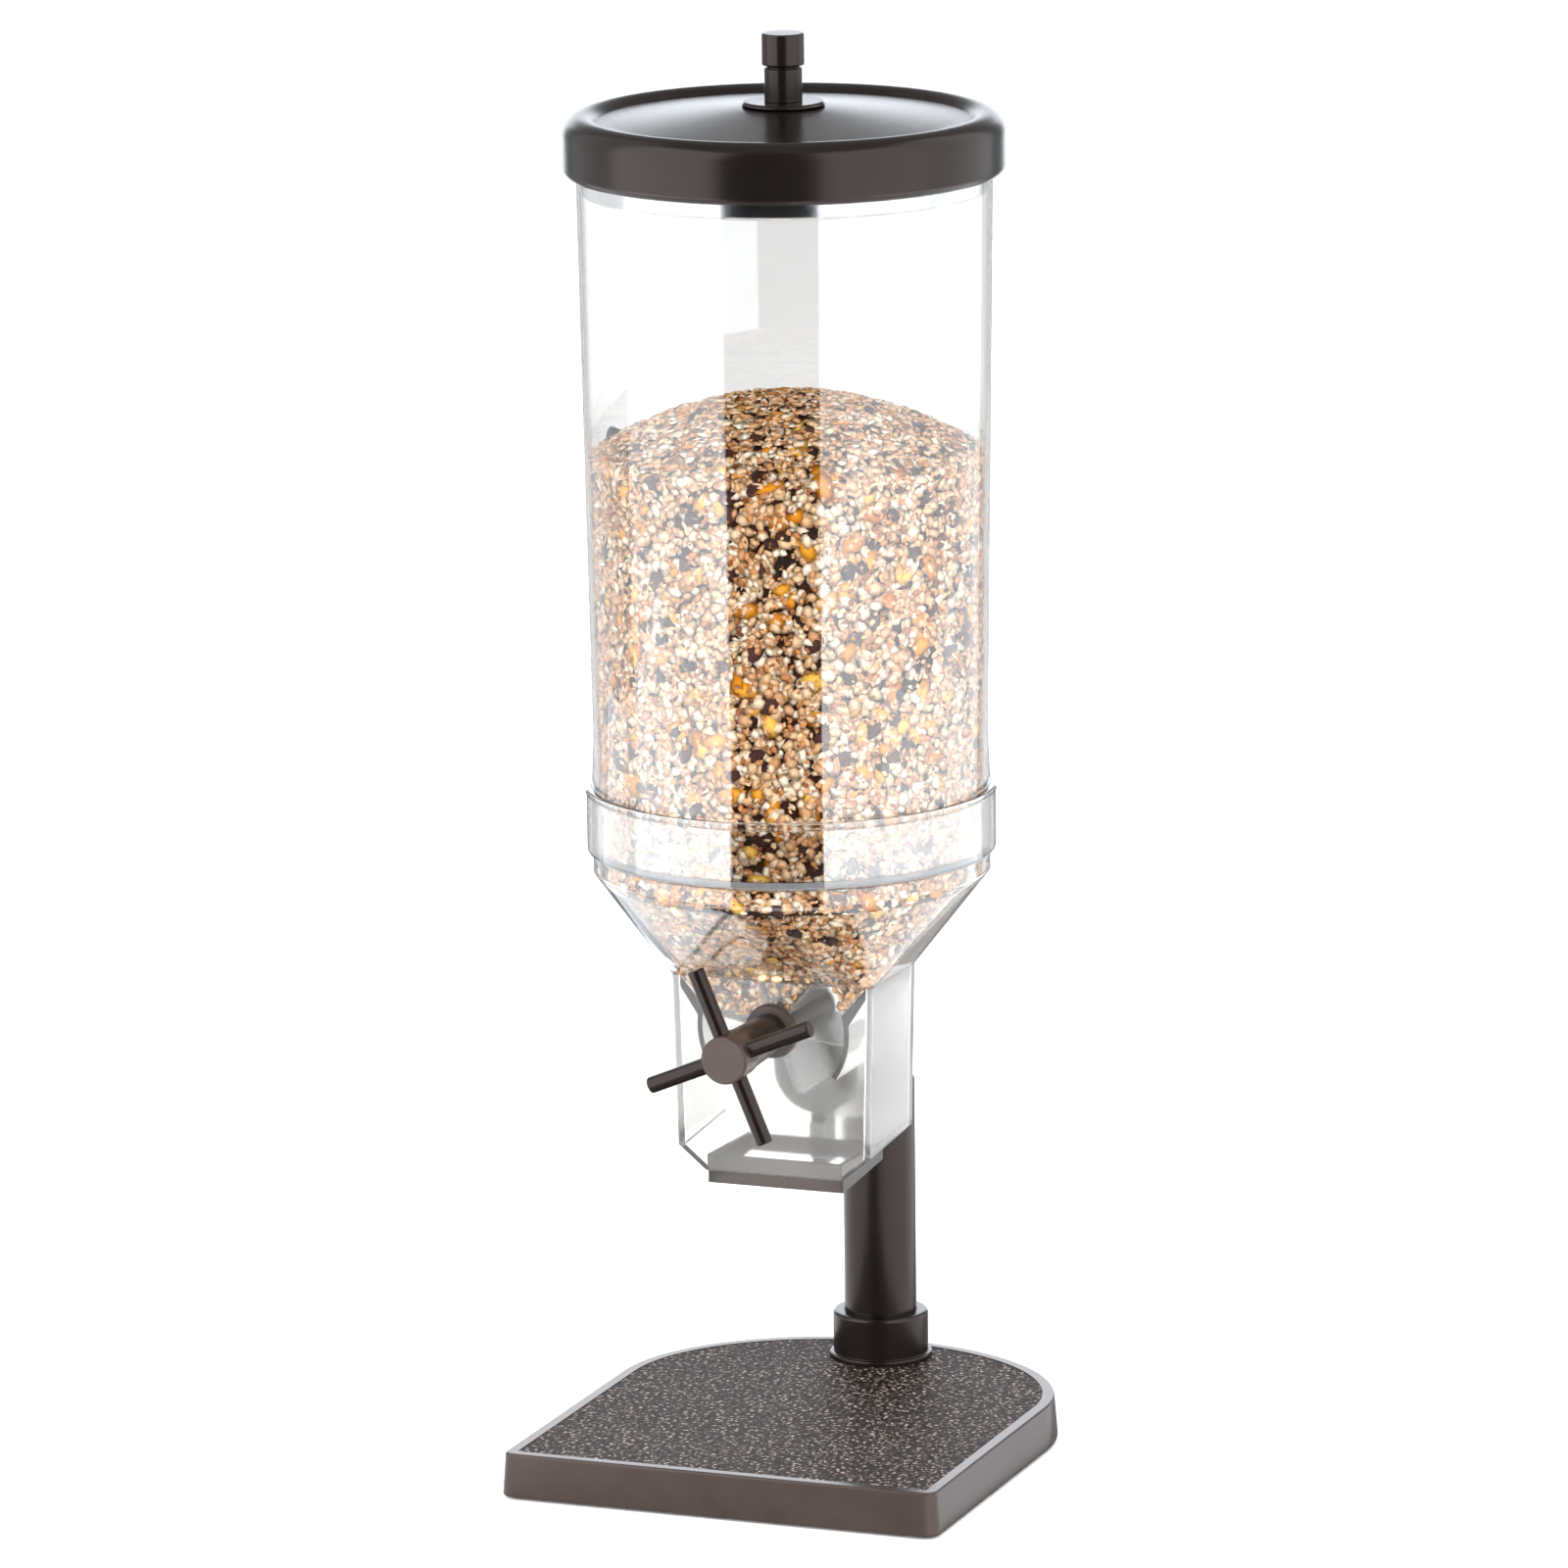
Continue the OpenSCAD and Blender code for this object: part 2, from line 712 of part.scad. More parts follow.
module star_hub() {
    bore = shaft_d / 2 + fit_gap;
    soft = 0.7;
    r = star_d / 2;
    front = -star_front;
    color(satin_brown) difference() {
        union() {
            shaft_cylinder(r - soft, r, front, front + soft);
            shaft_cylinder(r, r, front + soft, boss_front - soft);
            shaft_cylinder(r, r - soft, boss_front - soft, boss_front);
        }
        shaft_cylinder(bore, bore, front + star_neck + 0.1, 0);
        for (i = [0:3]) at_arm(i) cylinder(r = arm_d / 2 + fit_gap, h = arm_reach);
    }
}

// Places a piece along one arm, which starts just outside the shaft
module at_arm(index) {
    at_container() translate([0, -star_front + star_neck, shaft_z]) rotate([0, 90 - arm_turn - 90 * index, 0])
        translate([0, 0, arm_start]) children();
}

module star_arm(index) {
    tip = 0.7;
    length = arm_reach - arm_start - 0.1;
    color(satin_brown) at_arm(index) translate([0, 0, 0.1]) {
        cylinder(r = arm_d / 2, h = length - tip);
        translate([0, 0, length - tip]) cylinder(r1 = arm_d / 2, r2 = arm_d / 2 - tip, h = tip);
    }
}

base_plate();
base_panel();
base_weight();
base_cover();
base_feet();
cover_screws();
post_tube();
post_collar();
post_lower_plug();
post_screw();
post_washer();
post_top_plug();
hanger_arm();
arm_screws();
rest_pad();
container_tube();
tube_seal();
funnel();
neck_housing();
spout_ring();
metering_chamber();
front_bushing();
rear_bushing();
rear_socket();
cereal_fill();
lid_shell();
lid_liner();
lid_seal();
lid_washer();
knob_stem();
knob_cap();
knob_screw();
rotor_shaft();
rotor_hub();
paddle(0);  // paddle_1
paddle(1);  // paddle_2
paddle(2);  // paddle_3
paddle(3);  // paddle_4
paddle(4);  // paddle_5
paddle(5);  // paddle_6
thrust_washer();
star_boss();
boss_set_screw();
star_hub();
star_arm(0);  // star_arm_1
star_arm(1);  // star_arm_2
star_arm(2);  // star_arm_3
star_arm(3);  // star_arm_4
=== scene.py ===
import json
import math

import bmesh
import bpy
import numpy as np
from mathutils import Matrix, Vector, noise


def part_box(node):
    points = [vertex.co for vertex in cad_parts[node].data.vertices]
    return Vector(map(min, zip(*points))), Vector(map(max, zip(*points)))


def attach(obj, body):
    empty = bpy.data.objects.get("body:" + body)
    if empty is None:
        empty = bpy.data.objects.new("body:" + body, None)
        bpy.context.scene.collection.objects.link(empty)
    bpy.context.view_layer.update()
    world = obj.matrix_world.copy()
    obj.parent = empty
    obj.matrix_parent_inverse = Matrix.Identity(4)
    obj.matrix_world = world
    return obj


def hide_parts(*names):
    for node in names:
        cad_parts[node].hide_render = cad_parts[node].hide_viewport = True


# The visible model of a cereal dispenser, with its materials, its camera and a pale studio stage.
# Names in capitals are sizes or materials that several pieces share.

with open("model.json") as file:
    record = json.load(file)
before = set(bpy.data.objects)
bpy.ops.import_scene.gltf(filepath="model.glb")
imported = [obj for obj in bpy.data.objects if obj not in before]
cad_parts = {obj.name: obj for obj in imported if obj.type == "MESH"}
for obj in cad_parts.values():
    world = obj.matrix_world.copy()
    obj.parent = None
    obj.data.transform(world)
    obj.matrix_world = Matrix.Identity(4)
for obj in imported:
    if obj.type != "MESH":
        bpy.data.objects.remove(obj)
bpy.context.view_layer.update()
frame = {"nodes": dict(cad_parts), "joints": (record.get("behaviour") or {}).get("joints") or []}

# ---------------------------------------------------------------------------
# Sizes, in metres, read from the frame or named here
# ---------------------------------------------------------------------------

MM = 0.001
rng = np.random.default_rng(20)
# Without a seed, Blender's noise starts from the clock, and each run shapes the cereal differently
noise.seed_set(20)

wheel_joint = next(j for j in frame["joints"] if j["name"] == "wheel_spin")
AXIS = Vector((0, wheel_joint["pos_m"][1], 0))
SHAFT = Vector(wheel_joint["pos_m"])
post_lo, post_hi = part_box("post_tube")
POST = Vector(((post_lo.x + post_hi.x) / 2, (post_lo.y + post_hi.y) / 2, 0))
WALL = 2.5 * MM
UP = Vector((0, 0, 1))
BACK = Vector((0, 1, 0))


def low(node):
    """The lowest corner of a CAD node's box."""
    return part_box(node)[0]


def high(node):
    """The highest corner of a CAD node's box."""
    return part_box(node)[1]


# ---------------------------------------------------------------------------
# Camera: a long lens from the front right, a little above
# ---------------------------------------------------------------------------

CAMERA_AZIMUTH = math.radians(21.06)
CAMERA_ELEVATION = math.radians(12.26)
CAMERA_ROLL = math.radians(-0.65)
CAMERA_DISTANCE = 3.85
CAMERA_LENS_MM = 234.3
CAMERA_TARGET = AXIS + Vector((-2.5 * MM, -0.95 * MM, 264.5 * MM))


def look_direction(azimuth, elevation):
    """Unit vector from the object towards a viewer at that azimuth and elevation."""
    return Vector((math.sin(azimuth) * math.cos(elevation),
                   -math.cos(azimuth) * math.cos(elevation),
                   math.sin(elevation)))


def make_camera():
    """Aims the lens at the target, with a slight roll about the line of sight."""
    data = bpy.data.cameras.new("camera")
    data.lens = CAMERA_LENS_MM
    data.sensor_width = 36
    data.clip_end = 50
    camera = bpy.data.objects.new("camera", data)
    bpy.context.scene.collection.objects.link(camera)
    back = look_direction(CAMERA_AZIMUTH, CAMERA_ELEVATION)
    side = Vector((math.cos(CAMERA_AZIMUTH), math.sin(CAMERA_AZIMUTH), 0))
    up = back.cross(side)
    right = math.cos(CAMERA_ROLL) * side + math.sin(CAMERA_ROLL) * up
    up = back.cross(right)
    rotation = Matrix((right, up, back)).transposed().to_4x4()
    camera.matrix_world = Matrix.Translation(CAMERA_TARGET + CAMERA_DISTANCE * back) @ rotation
    bpy.context.scene.camera = camera


# ---------------------------------------------------------------------------
# Mesh helpers
# ---------------------------------------------------------------------------

def finish_piece(name, mesh, material, body, replaces=(), slot=None, smooth=True):
    """Links a mesh as one piece that rides on a body and stands for CAD nodes."""
    piece = bpy.data.objects.new(name, mesh)
    bpy.context.scene.collection.objects.link(piece)
    mesh.materials.append(material)
    if smooth:
        mesh.shade_smooth()
    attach(piece, body)
    if replaces:
        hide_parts(*replaces)
    return piece


def mesh_from_bmesh(name, bm):
    """Turns a finished bmesh into a mesh with merged points and outward faces."""
    bmesh.ops.remove_doubles(bm, verts=bm.verts, dist=1e-7)
    bmesh.ops.recalc_face_normals(bm, faces=bm.faces)
    mesh = bpy.data.meshes.new(name)
    bm.to_mesh(mesh)
    bm.free()
    return mesh


def rounded(corners, steps=5):
    """A closed or open outline of (x, y, radius) corners with each corner turned into an arc."""
    points = []
    count = len(corners)
    for i, (x, y, radius) in enumerate(corners):
        here = Vector((x, y))
        if radius <= 0:
            points.append(here)
            continue
        before = Vector(corners[i - 1][:2]) - here
        after = Vector(corners[(i + 1) % count][:2]) - here
        angle = before.angle(after)
        reach = min(radius / math.tan(angle / 2), 0.49 * before.length, 0.49 * after.length)
        start = here + before.normalized() * reach
        end = here + after.normalized() * reach
        for k in range(steps + 1):
            t = k / steps
            points.append(start * (1 - t) ** 2 + here * 2 * t * (1 - t) + end * t ** 2)
    return points


def lathe(outline, origin, axis, segments):
    """A closed outline of (radius, height) points turned about an axis through origin."""
    bm = bmesh.new()
    turn = axis.to_track_quat("Z", "Y").to_matrix()
    rings = []
    for radius, height in outline:
        if radius < 1e-7:
            rings.append([bm.verts.new(origin + turn @ Vector((0, 0, height)))] * segments)
            continue
        angles = [2 * math.pi * k / segments for k in range(segments)]
        spots = [Vector((radius * math.cos(a), radius * math.sin(a), height)) for a in angles]
        rings.append([bm.verts.new(origin + turn @ spot) for spot in spots])
    bridge(bm, rings + rings[:1])
    return bm


def bridge(bm, rings):
    """Faces between each ring of vertices and the next; a ring may be a repeated pole."""
    for ring, following in zip(rings, rings[1:]):
        count = len(ring)
        for k in range(count):
            corners = [ring[k], ring[(k + 1) % count], following[(k + 1) % count], following[k]]
            unique = list(dict.fromkeys(corners))
            if len(unique) > 2 and bm.faces.get(unique) is None:
                bm.faces.new(unique)


def turned_piece(name, corners, material, body, origin=AXIS, axis=UP, segments=144, **more):
    """A turned piece from (radius, height, rounding) corners in millimetres."""
    outline = [(p.x * MM, p.y * MM) for p in rounded(corners)]
    mesh = mesh_from_bmesh(name, lathe(outline, origin, axis, segments))
    piece = finish_piece(name, mesh, material, body, **more)
    return weighted(piece)


def weighted(piece):
    """Shading that keeps large faces flat and rounds only the small ones between them."""
    modifier = piece.modifiers.new("weighted_normals", "WEIGHTED_NORMAL")
    modifier.keep_sharp = True
    return piece


def bevelled(piece, width):
    """Rounds every edge that turns by more than 20 degrees."""
    modifier = piece.modifiers.new("bevel", "BEVEL")
    modifier.width = width
    modifier.segments = 3
    modifier.limit_method = "ANGLE"
    modifier.angle_limit = math.radians(20)
    modifier.harden_normals = False
    return piece


# ---------------------------------------------------------------------------
# Materials
# ---------------------------------------------------------------------------

def srgb(red, green, blue):
    """A linear colour from 0 to 255 display values."""
    def linear(value):
        value /= 255
        return value / 12.92 if value <= 0.04045 else ((value + 0.055) / 1.055) ** 2.4
    return (linear(red), linear(green), linear(blue), 1)


class Material:
    """A node material with short calls for adding nodes."""

    def __init__(self, name):
        self.material = bpy.data.materials.new(name)
        self.material.use_nodes = True
        self.tree = self.material.node_tree
        self.shader = self.tree.nodes["Principled BSDF"]
        self.output = self.tree.nodes["Material Output"]

    def node(self, kind, inputs=None, **settings):
        made = self.tree.nodes.new(kind)
        for key, value in settings.items():
            setattr(made, key, value)
        for key, value in (inputs or {}).items():
            self.set(made.inputs[key], value)
        return made

    def set(self, socket, value):
        if isinstance(value, bpy.types.NodeSocket):
            self.tree.links.new(value, socket)
        else:
            socket.default_value = value

    def surface(self, **inputs):
        """Sets the main shader's sockets, such as Base_Color or Roughness."""
        for key, value in inputs.items():
            self.set(self.shader.inputs[key.replace("_", " ")], value)

    def place(self):
        return self.node("ShaderNodeTexCoord").outputs["Object"]

    def noise(self, scale, detail=3.0, roughness=0.5):
        inputs = {"Vector": self.place(), "Scale": scale, "Detail": detail, "Roughness": roughness}
        return self.node("ShaderNodeTexNoise", inputs).outputs["Fac"]

    def cells(self, scale):
        inputs = {"Vector": self.place(), "Scale": scale}
        return self.node("ShaderNodeTexVoronoi", inputs).outputs["Distance"]

    def ramp(self, factor, *stops):
        """A colour that runs through (position, colour) stops as the factor rises."""
        made = self.node("ShaderNodeValToRGB", {"Fac": factor})
        elements = made.color_ramp.elements
        while len(elements) < len(stops):
            elements.new(0.5)
        for element, (position, colour) in zip(elements, stops):
            element.position = position
            element.color = colour
        return made.outputs["Color"]

    def scaled(self, value, low_value, high_value):
        """A factor from 0 to 1 turned into the range from low_value to high_value."""
        inputs = {"Value": value, "To Min": low_value, "To Max": high_value}
        return self.node("ShaderNodeMapRange", inputs).outputs["Result"]

    def rising(self, value, start, end):
        """A factor that rises from 0 to 1 as the value goes from start to end."""
        inputs = {"Value": value, "From Min": start, "From Max": end}
        return self.node("ShaderNodeMapRange", inputs).outputs["Result"]

    def math(self, operation, first, second):
        return self.node("ShaderNodeMath", {0: first, 1: second}, operation=operation).outputs[0]

    def shaded(self, factor, colour, shade):
        """A colour multiplied by a shade, as far as the factor says."""
        made = self.node("ShaderNodeMix", data_type="RGBA", blend_type="MULTIPLY")
        colour_a, colour_b = made.inputs[6], made.inputs[7]
        self.set(made.inputs[0], factor)
        self.set(colour_a, colour)
        self.set(colour_b, shade)
        return made.outputs[2]

    def bump(self, height, distance, strength=1.0):
        inputs = {"Height": height, "Distance": distance, "Strength": strength}
        return self.node("ShaderNodeBump", inputs).outputs["Normal"]


def satin_brown(name, deep, pale):
    """Satin brown-grey coating with a fine orange peel."""
    m = Material(name)
    mottle = m.noise(60, 4)
    colour = m.ramp(mottle, (0.3, deep), (0.7, pale))
    m.surface(Base_Color=colour,
              Roughness=m.scaled(m.noise(900, 2), 0.2, 0.27),
              Normal=m.bump(m.noise(1400, 2), 0.02 * MM))
    m.surface(Metallic=0.0, Specular_IOR_Level=0.64, Specular_Tint=(1.0, 0.8, 0.72, 1))
    return m.material


def grained_brown():
    """Pebble-grained dark brown panel, with painted shade in the grooves and painted glints on the grain
    tops.
    """
    m = Material("grained_brown")
    pebbles = m.cells(480)
    specks = m.noise(620, 4, 0.75)
    height = m.math("SUBTRACT", specks, m.math("MULTIPLY", pebbles, 0.35))
    # The colour follows the grain's height: painted shade in the grooves and painted glints on the tops.
    colour = m.ramp(height, (0.22, srgb(12, 9, 7)), (0.4, srgb(46, 37, 33)), (0.52, srgb(178, 163, 154)))
    m.surface(Base_Color=colour,
              Roughness=m.scaled(specks, 0.42, 0.65),
              Normal=m.bump(height, 0.6 * MM))
    m.surface(Specular_IOR_Level=0.09, Specular_Tint=(1.0, 0.84, 0.78, 1))
    return m.material


PLASTIC_IOR = 1.49


def let_lamps_through(m, tint):
    """Shadow rays cross the plastic straight, only tinted, so the lamps reach what is inside."""
    through = m.node("ShaderNodeBsdfTransparent", {"Color": tint})
    ray = m.node("ShaderNodeLightPath")
    mix = m.node("ShaderNodeMixShader",
                 {0: ray.outputs["Is Shadow Ray"], 1: m.shader.outputs[0], 2: through.outputs[0]})
    m.set(m.output.inputs["Surface"], mix.outputs[0])


def clear_plastic(name, tint):
    """Clear glossy plastic, with very faint waves in its surface."""
    m = Material(name)
    waves = m.noise(35, 2)
    m.surface(Base_Color=m.ramp(waves, (0.3, tint), (0.7, [min(1, c * 1.01) for c in tint])),
              Normal=m.bump(waves, 0.05 * MM, 0.3))
    m.surface(Roughness=0.0, IOR=PLASTIC_IOR, Transmission_Weight=1.0, Coat_Weight=1.0,
              Coat_Roughness=0.0)
    let_lamps_through(m, tint)
    return m.material


def clear_front(m, milkiness):
    """A roughness that is low at the neck's front wall and below its fold, and milky elsewhere."""
    spot = m.node("ShaderNodeSeparateXYZ", {"Vector": m.place()}).outputs
    inner = low("neck_housing").y + WALL
    fold = low("neck_housing").z + 12 * MM
    behind = m.rising(spot["Y"], inner, inner + 1.5 * MM)
    above = m.rising(spot["Z"], fold, fold + 3 * MM)
    return m.scaled(m.math("MULTIPLY", behind, above), 0.1, milkiness)


def frosted_plastic(name, tint, milkiness, has_clear_front=False):
    """Milky plastic: what touches it shows, and what is further behind fades."""
    m = Material(name)
    cloud = m.noise(40, 3)
    roughness = clear_front(m, milkiness) if has_clear_front else milkiness
    m.surface(Base_Color=m.ramp(cloud, (0.3, tint), (0.7, [min(1, c * 1.03) for c in tint])),
              Normal=m.bump(m.noise(1200, 2), 0.01 * MM))
    m.surface(Roughness=roughness, IOR=PLASTIC_IOR, Transmission_Weight=0.98, Specular_IOR_Level=0.2)
    let_lamps_through(m, tint)
    return m.material


def soft_plastic(name, colour, roughness, translucency=0.0):
    """Silicone, rubber or plain moulded plastic."""
    m = Material(name)
    spots = m.noise(700, 3)
    dark = [c * 0.85 for c in colour[:3]] + [1]
    m.surface(Base_Color=m.ramp(spots, (0.3, dark), (0.7, colour)),
              Roughness=m.scaled(spots, roughness - 0.06, roughness + 0.06),
              Normal=m.bump(m.noise(1600, 2), 0.03 * MM))
    m.surface(Transmission_Weight=translucency)
    return m.material


def bare_steel():
    """Zinc-plated steel with a fine turned grain."""
    m = Material("bare_steel")
    grain = m.noise(500, 4, 0.6)
    m.surface(Base_Color=m.ramp(grain, (0.3, srgb(150, 151, 155)), (0.7, srgb(186, 187, 190))),
              Roughness=m.scaled(grain, 0.25, 0.42),
              Normal=m.bump(grain, 0.02 * MM))
    m.surface(Metallic=1.0)
    return m.material


def polished_steel():
    """Bright rolled steel with faint drawing lines."""
    m = Material("polished_steel")
    lines = m.noise(220, 3)
    m.surface(Base_Color=m.ramp(lines, (0.3, srgb(196, 196, 198)), (0.7, srgb(214, 214, 216))),
              Roughness=m.scaled(lines, 0.12, 0.2),
              Normal=m.bump(lines, 0.01 * MM))
    m.surface(Metallic=1.0)
    return m.material


def cereal_material(name, *tones, roughness=0.75, bump_scale=900, bump_height=0.25):
    """One kind of cereal: each flake takes its own tone, and its surface is speckled and rough."""
    m = Material(name)
    tone = m.node("ShaderNodeAttribute", attribute_name="tone").outputs["Fac"]
    stops = [(i / (len(tones) - 1), colour) for i, colour in enumerate(tones)]
    base = m.ramp(tone, *stops)
    specks = m.noise(bump_scale, 5, 0.65)
    shade = m.ramp(specks, (0.25, (0.62, 0.55, 0.48, 1)), (0.6, (1, 1, 1, 1)))
    m.surface(Base_Color=m.shaded(0.7, base, shade),
              Roughness=m.scaled(specks, roughness - 0.1, roughness + 0.1),
              Normal=m.bump(specks, bump_height * MM))
    m.surface(Specular_IOR_Level=0.3, Subsurface_Weight=0.0)
    return m.material


BROWN = satin_brown("satin_brown", srgb(9, 7, 5), srgb(13, 10, 8))
# A paler copy of the satin brown, for the base and the star disc: painted light for their brighter
# front-facing faces.
PAINTED_LIT_BROWN = satin_brown("painted_lit_brown", srgb(42, 35, 32), srgb(48, 41, 38))
GRAIN = grained_brown()
CLEAR = clear_plastic("clear_plastic", srgb(248, 248, 248))
FROSTED = frosted_plastic("frosted_plastic", srgb(244, 243, 241), 0.34, has_clear_front=True)
SOCKET_GREY = frosted_plastic("socket_plastic", srgb(232, 230, 228), 0.14)
SMOKED = soft_plastic("smoked_plastic", srgb(86, 77, 72), 0.3, 0.72)
SILICONE = soft_plastic("silicone", srgb(228, 228, 227), 0.25, 0.85)
GASKET = soft_plastic("gasket_grey", srgb(120, 120, 120), 0.5)
RUBBER = soft_plastic("black_rubber", srgb(32, 31, 31), 0.7)
BLACK_PLASTIC = soft_plastic("black_plastic", srgb(38, 36, 35), 0.5)
BROWN_PLASTIC = soft_plastic("brown_plastic", srgb(58, 50, 47), 0.4)
STEEL = bare_steel()
POLISHED = polished_steel()

CAD_FINISHES = {
    "base_weight": STEEL, "base_cover": BLACK_PLASTIC, "base_feet": RUBBER, "cover_screws": STEEL,
    "post_lower_plug": STEEL, "post_screw": STEEL, "post_washer": STEEL, "post_top_plug": BROWN,
    "hanger_arm": BROWN, "arm_screws": STEEL, "rest_pad": GASKET, "tube_seal": GASKET,
    "metering_chamber": CLEAR, "spout_ring": SMOKED,
    "front_bushing": BROWN_PLASTIC, "rear_bushing": BROWN_PLASTIC, "rear_socket": SOCKET_GREY,
    "lid_liner": POLISHED, "lid_seal": RUBBER, "knob_screw": STEEL, "rotor_shaft": STEEL,
    "rotor_hub": BROWN_PLASTIC, "thrust_washer": SILICONE, "boss_set_screw": STEEL,
}


def finish_cad_nodes():
    """Gives each CAD node that stays visible its own finish."""
    for node, material in CAD_FINISHES.items():
        mesh = frame["nodes"][node].data
        mesh.materials.clear()
        mesh.materials.append(material)


# ---------------------------------------------------------------------------
# Stand
# ---------------------------------------------------------------------------

BASE_LOW, BASE_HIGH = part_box("base_plate")
PANEL_LOW, PANEL_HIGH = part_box("base_panel")
BASE_BACK_DEPTH = 77.3 * MM
BASE_CORNER = 6 * MM
BASE_FLARE_MM = 1.3
BASE_BORDER_MM = 4.7


def base_outline(inset):
    """Plan of the base: straight front and sides, small front corners, half-ellipse back."""
    arc_steps = 60
    corner_steps = 8
    side_steps = 8
    half = BASE_HIGH.x - inset
    front = BASE_LOW.y + inset
    spring = BASE_HIGH.y - BASE_BACK_DEPTH
    depth = BASE_BACK_DEPTH - inset
    corner = max(BASE_CORNER - inset, 1 * MM)
    points = []
    for side, start in ((-1, 180), (1, 270)):
        for k in range(corner_steps + 1):
            a = math.radians(start + 90 * k / corner_steps)
            x = side * (half - corner) + corner * math.cos(a)
            points.append((x, front + corner + corner * math.sin(a)))
    for k in range(1, side_steps):
        points.append((half, front + corner + (spring - front - corner) * k / side_steps))
    for k in range(arc_steps + 1):
        a = math.pi * k / arc_steps
        points.append((half * math.cos(a), spring + depth * math.sin(a)))
    for k in range(1, side_steps):
        points.append((-half, spring + (front + corner - spring) * k / side_steps))
    return points


def base_plate():
    """The base as one skin: underside lip, flared side, rounded rim, flat border and recess."""
    bottom = BASE_LOW.z / MM
    top = BASE_HIGH.z / MM
    recess = PANEL_LOW.z / MM
    lip = 4.4
    hollow = bottom + 1.6
    inner = 40
    border = BASE_FLARE_MM + BASE_BORDER_MM
    section = [(lip, hollow, 0), (lip, bottom, 0.3), (0, bottom, 0.9), (BASE_FLARE_MM, top, 1.1),
               (border, top, 0.35), (border, recess, 0), (inner, recess, 0), (inner, hollow, 0)]
    bm = bmesh.new()
    rings = []
    for p in rounded(section):
        rings.append([bm.verts.new((x, y, p.y * MM)) for x, y in base_outline(p.x * MM)])
    bridge(bm, rings + rings[:1])
    # The base takes the paler brown, which is painted light.
    piece = finish_piece("base_body", mesh_from_bmesh("base_body", bm), PAINTED_LIT_BROWN, "stand",
                         replaces=["base_plate"], slot="brown_metal")
    return weighted(piece)


def base_panel():
    """The grained inlay: a thin plate with a hole for the collar's bead."""
    gap = 0.05 * MM
    chamfer = 0.2 * MM
    hole = (high("post_collar").x - POST.x) + gap
    edge = (BASE_FLARE_MM + BASE_BORDER_MM) * MM + gap
    outer = base_outline(edge)
    bm = bmesh.new()
    rings = []
    levels = ((edge, PANEL_LOW.z), (edge, PANEL_HIGH.z - chamfer), (edge + chamfer, PANEL_HIGH.z))
    for inset, z in levels:
        rings.append([bm.verts.new((x, y, z)) for x, y in base_outline(inset)])
    steps = 14
    for k in range(1, steps + 1):
        t = k / steps
        ring = []
        for x, y in outer:
            away = Vector((x - POST.x, y - POST.y))
            target = Vector((POST.x, POST.y)) + away.normalized() * hole
            point = Vector((x, y)).lerp(target, t)
            ring.append(bm.verts.new((point.x, point.y, PANEL_HIGH.z)))
        rings.append(ring)
    rings.append([bm.verts.new((v.co.x, v.co.y, PANEL_LOW.z)) for v in rings[-1]])
    bridge(bm, rings + rings[:1])
    return finish_piece("base_grain_panel", mesh_from_bmesh("base_grain_panel", bm), GRAIN, "stand",
                        replaces=["base_panel"], slot="grained_panel", smooth=False)


def post():
    """The upright tube, and the collar with a bead round its foot."""
    radius = (post_hi.x - POST.x) / MM
    inside = radius - 2
    bottom = post_lo.z / MM
    top = post_hi.z / MM
    turned_piece("post_upright",
                 [(inside, bottom, 0), (radius, bottom, 0), (radius, top, 0.4), (inside, top, 0.3)],
                 BROWN, "stand", origin=POST, replaces=["post_tube"], slot="brown_metal", segments=96)
    lo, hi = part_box("post_collar")
    bore = radius + 0.05
    outer = 18.5
    bead = (hi.x - POST.x) / MM
    base = lo.z / MM
    crown = hi.z / MM
    turned_piece("post_foot_collar",
                 [(bore, base, 0), (bead, base, 1.1), (bead, base + 3, 1.1), (outer, base + 3.2, 0.3),
                  (outer, crown, 1.6), (bore, crown, 0.3)],
                 BROWN, "stand", origin=POST, replaces=["post_collar"], slot="brown_metal", segments=96)


# ---------------------------------------------------------------------------
# Container
# ---------------------------------------------------------------------------

# Sizes of the container in millimetres
TUBE_FOOT_R = high("tube_seal").x / MM
TUBE_MOUTH_R = high("container_tube").x / MM
TUBE_LOW_Z = low("container_tube").z / MM
TUBE_HIGH_Z = high("container_tube").z / MM
RING_BEAD = 0.6
RING_R = high("funnel").x / MM - RING_BEAD
RING_TOP = high("funnel").z / MM
NECK_LOW, NECK_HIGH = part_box("neck_housing")
FUNNEL_TOP = 232.7
NECK_HALF = NECK_HIGH.x / MM


def container_tube():
    """The clear tube, a little wider at its mouth."""
    wall = WALL / MM
    turned_piece("clear_tube",
                 [(TUBE_FOOT_R - wall, TUBE_LOW_Z, 0.3), (TUBE_FOOT_R, TUBE_LOW_Z, 0.3),
                  (TUBE_MOUTH_R, TUBE_HIGH_Z, 0.8), (TUBE_MOUTH_R - wall, TUBE_HIGH_Z, 0.8)],
                 CLEAR, "container", replaces=["container_tube"], slot="clear_plastic", segments=192)


def funnel_ring(bm, inset, share, z):
    """One level of the round-to-rectangle funnel: share 0 is the neck's end, and 1 the round end."""
    radius = TUBE_FOOT_R - inset
    corner_r = 1.5
    half = NECK_HALF - inset - corner_r
    front = (NECK_LOW.y - AXIS.y) / MM + inset + corner_r
    back = (NECK_HIGH.y - AXIS.y) / MM - inset - corner_r
    ring = []
    steps = 30
    for quarter, (x, y) in enumerate(((half, back), (-half, back), (-half, front), (half, front))):
        for k in range(steps + 1):
            a = math.radians(90 * (quarter + k / steps))
            direction = Vector((math.cos(a), math.sin(a)))
            foot = Vector((x, y)) + corner_r * direction
            point = foot.lerp(radius * direction, share)
            ring.append(bm.verts.new((point.x * MM, AXIS.y + point.y * MM, z * MM)))
    return ring


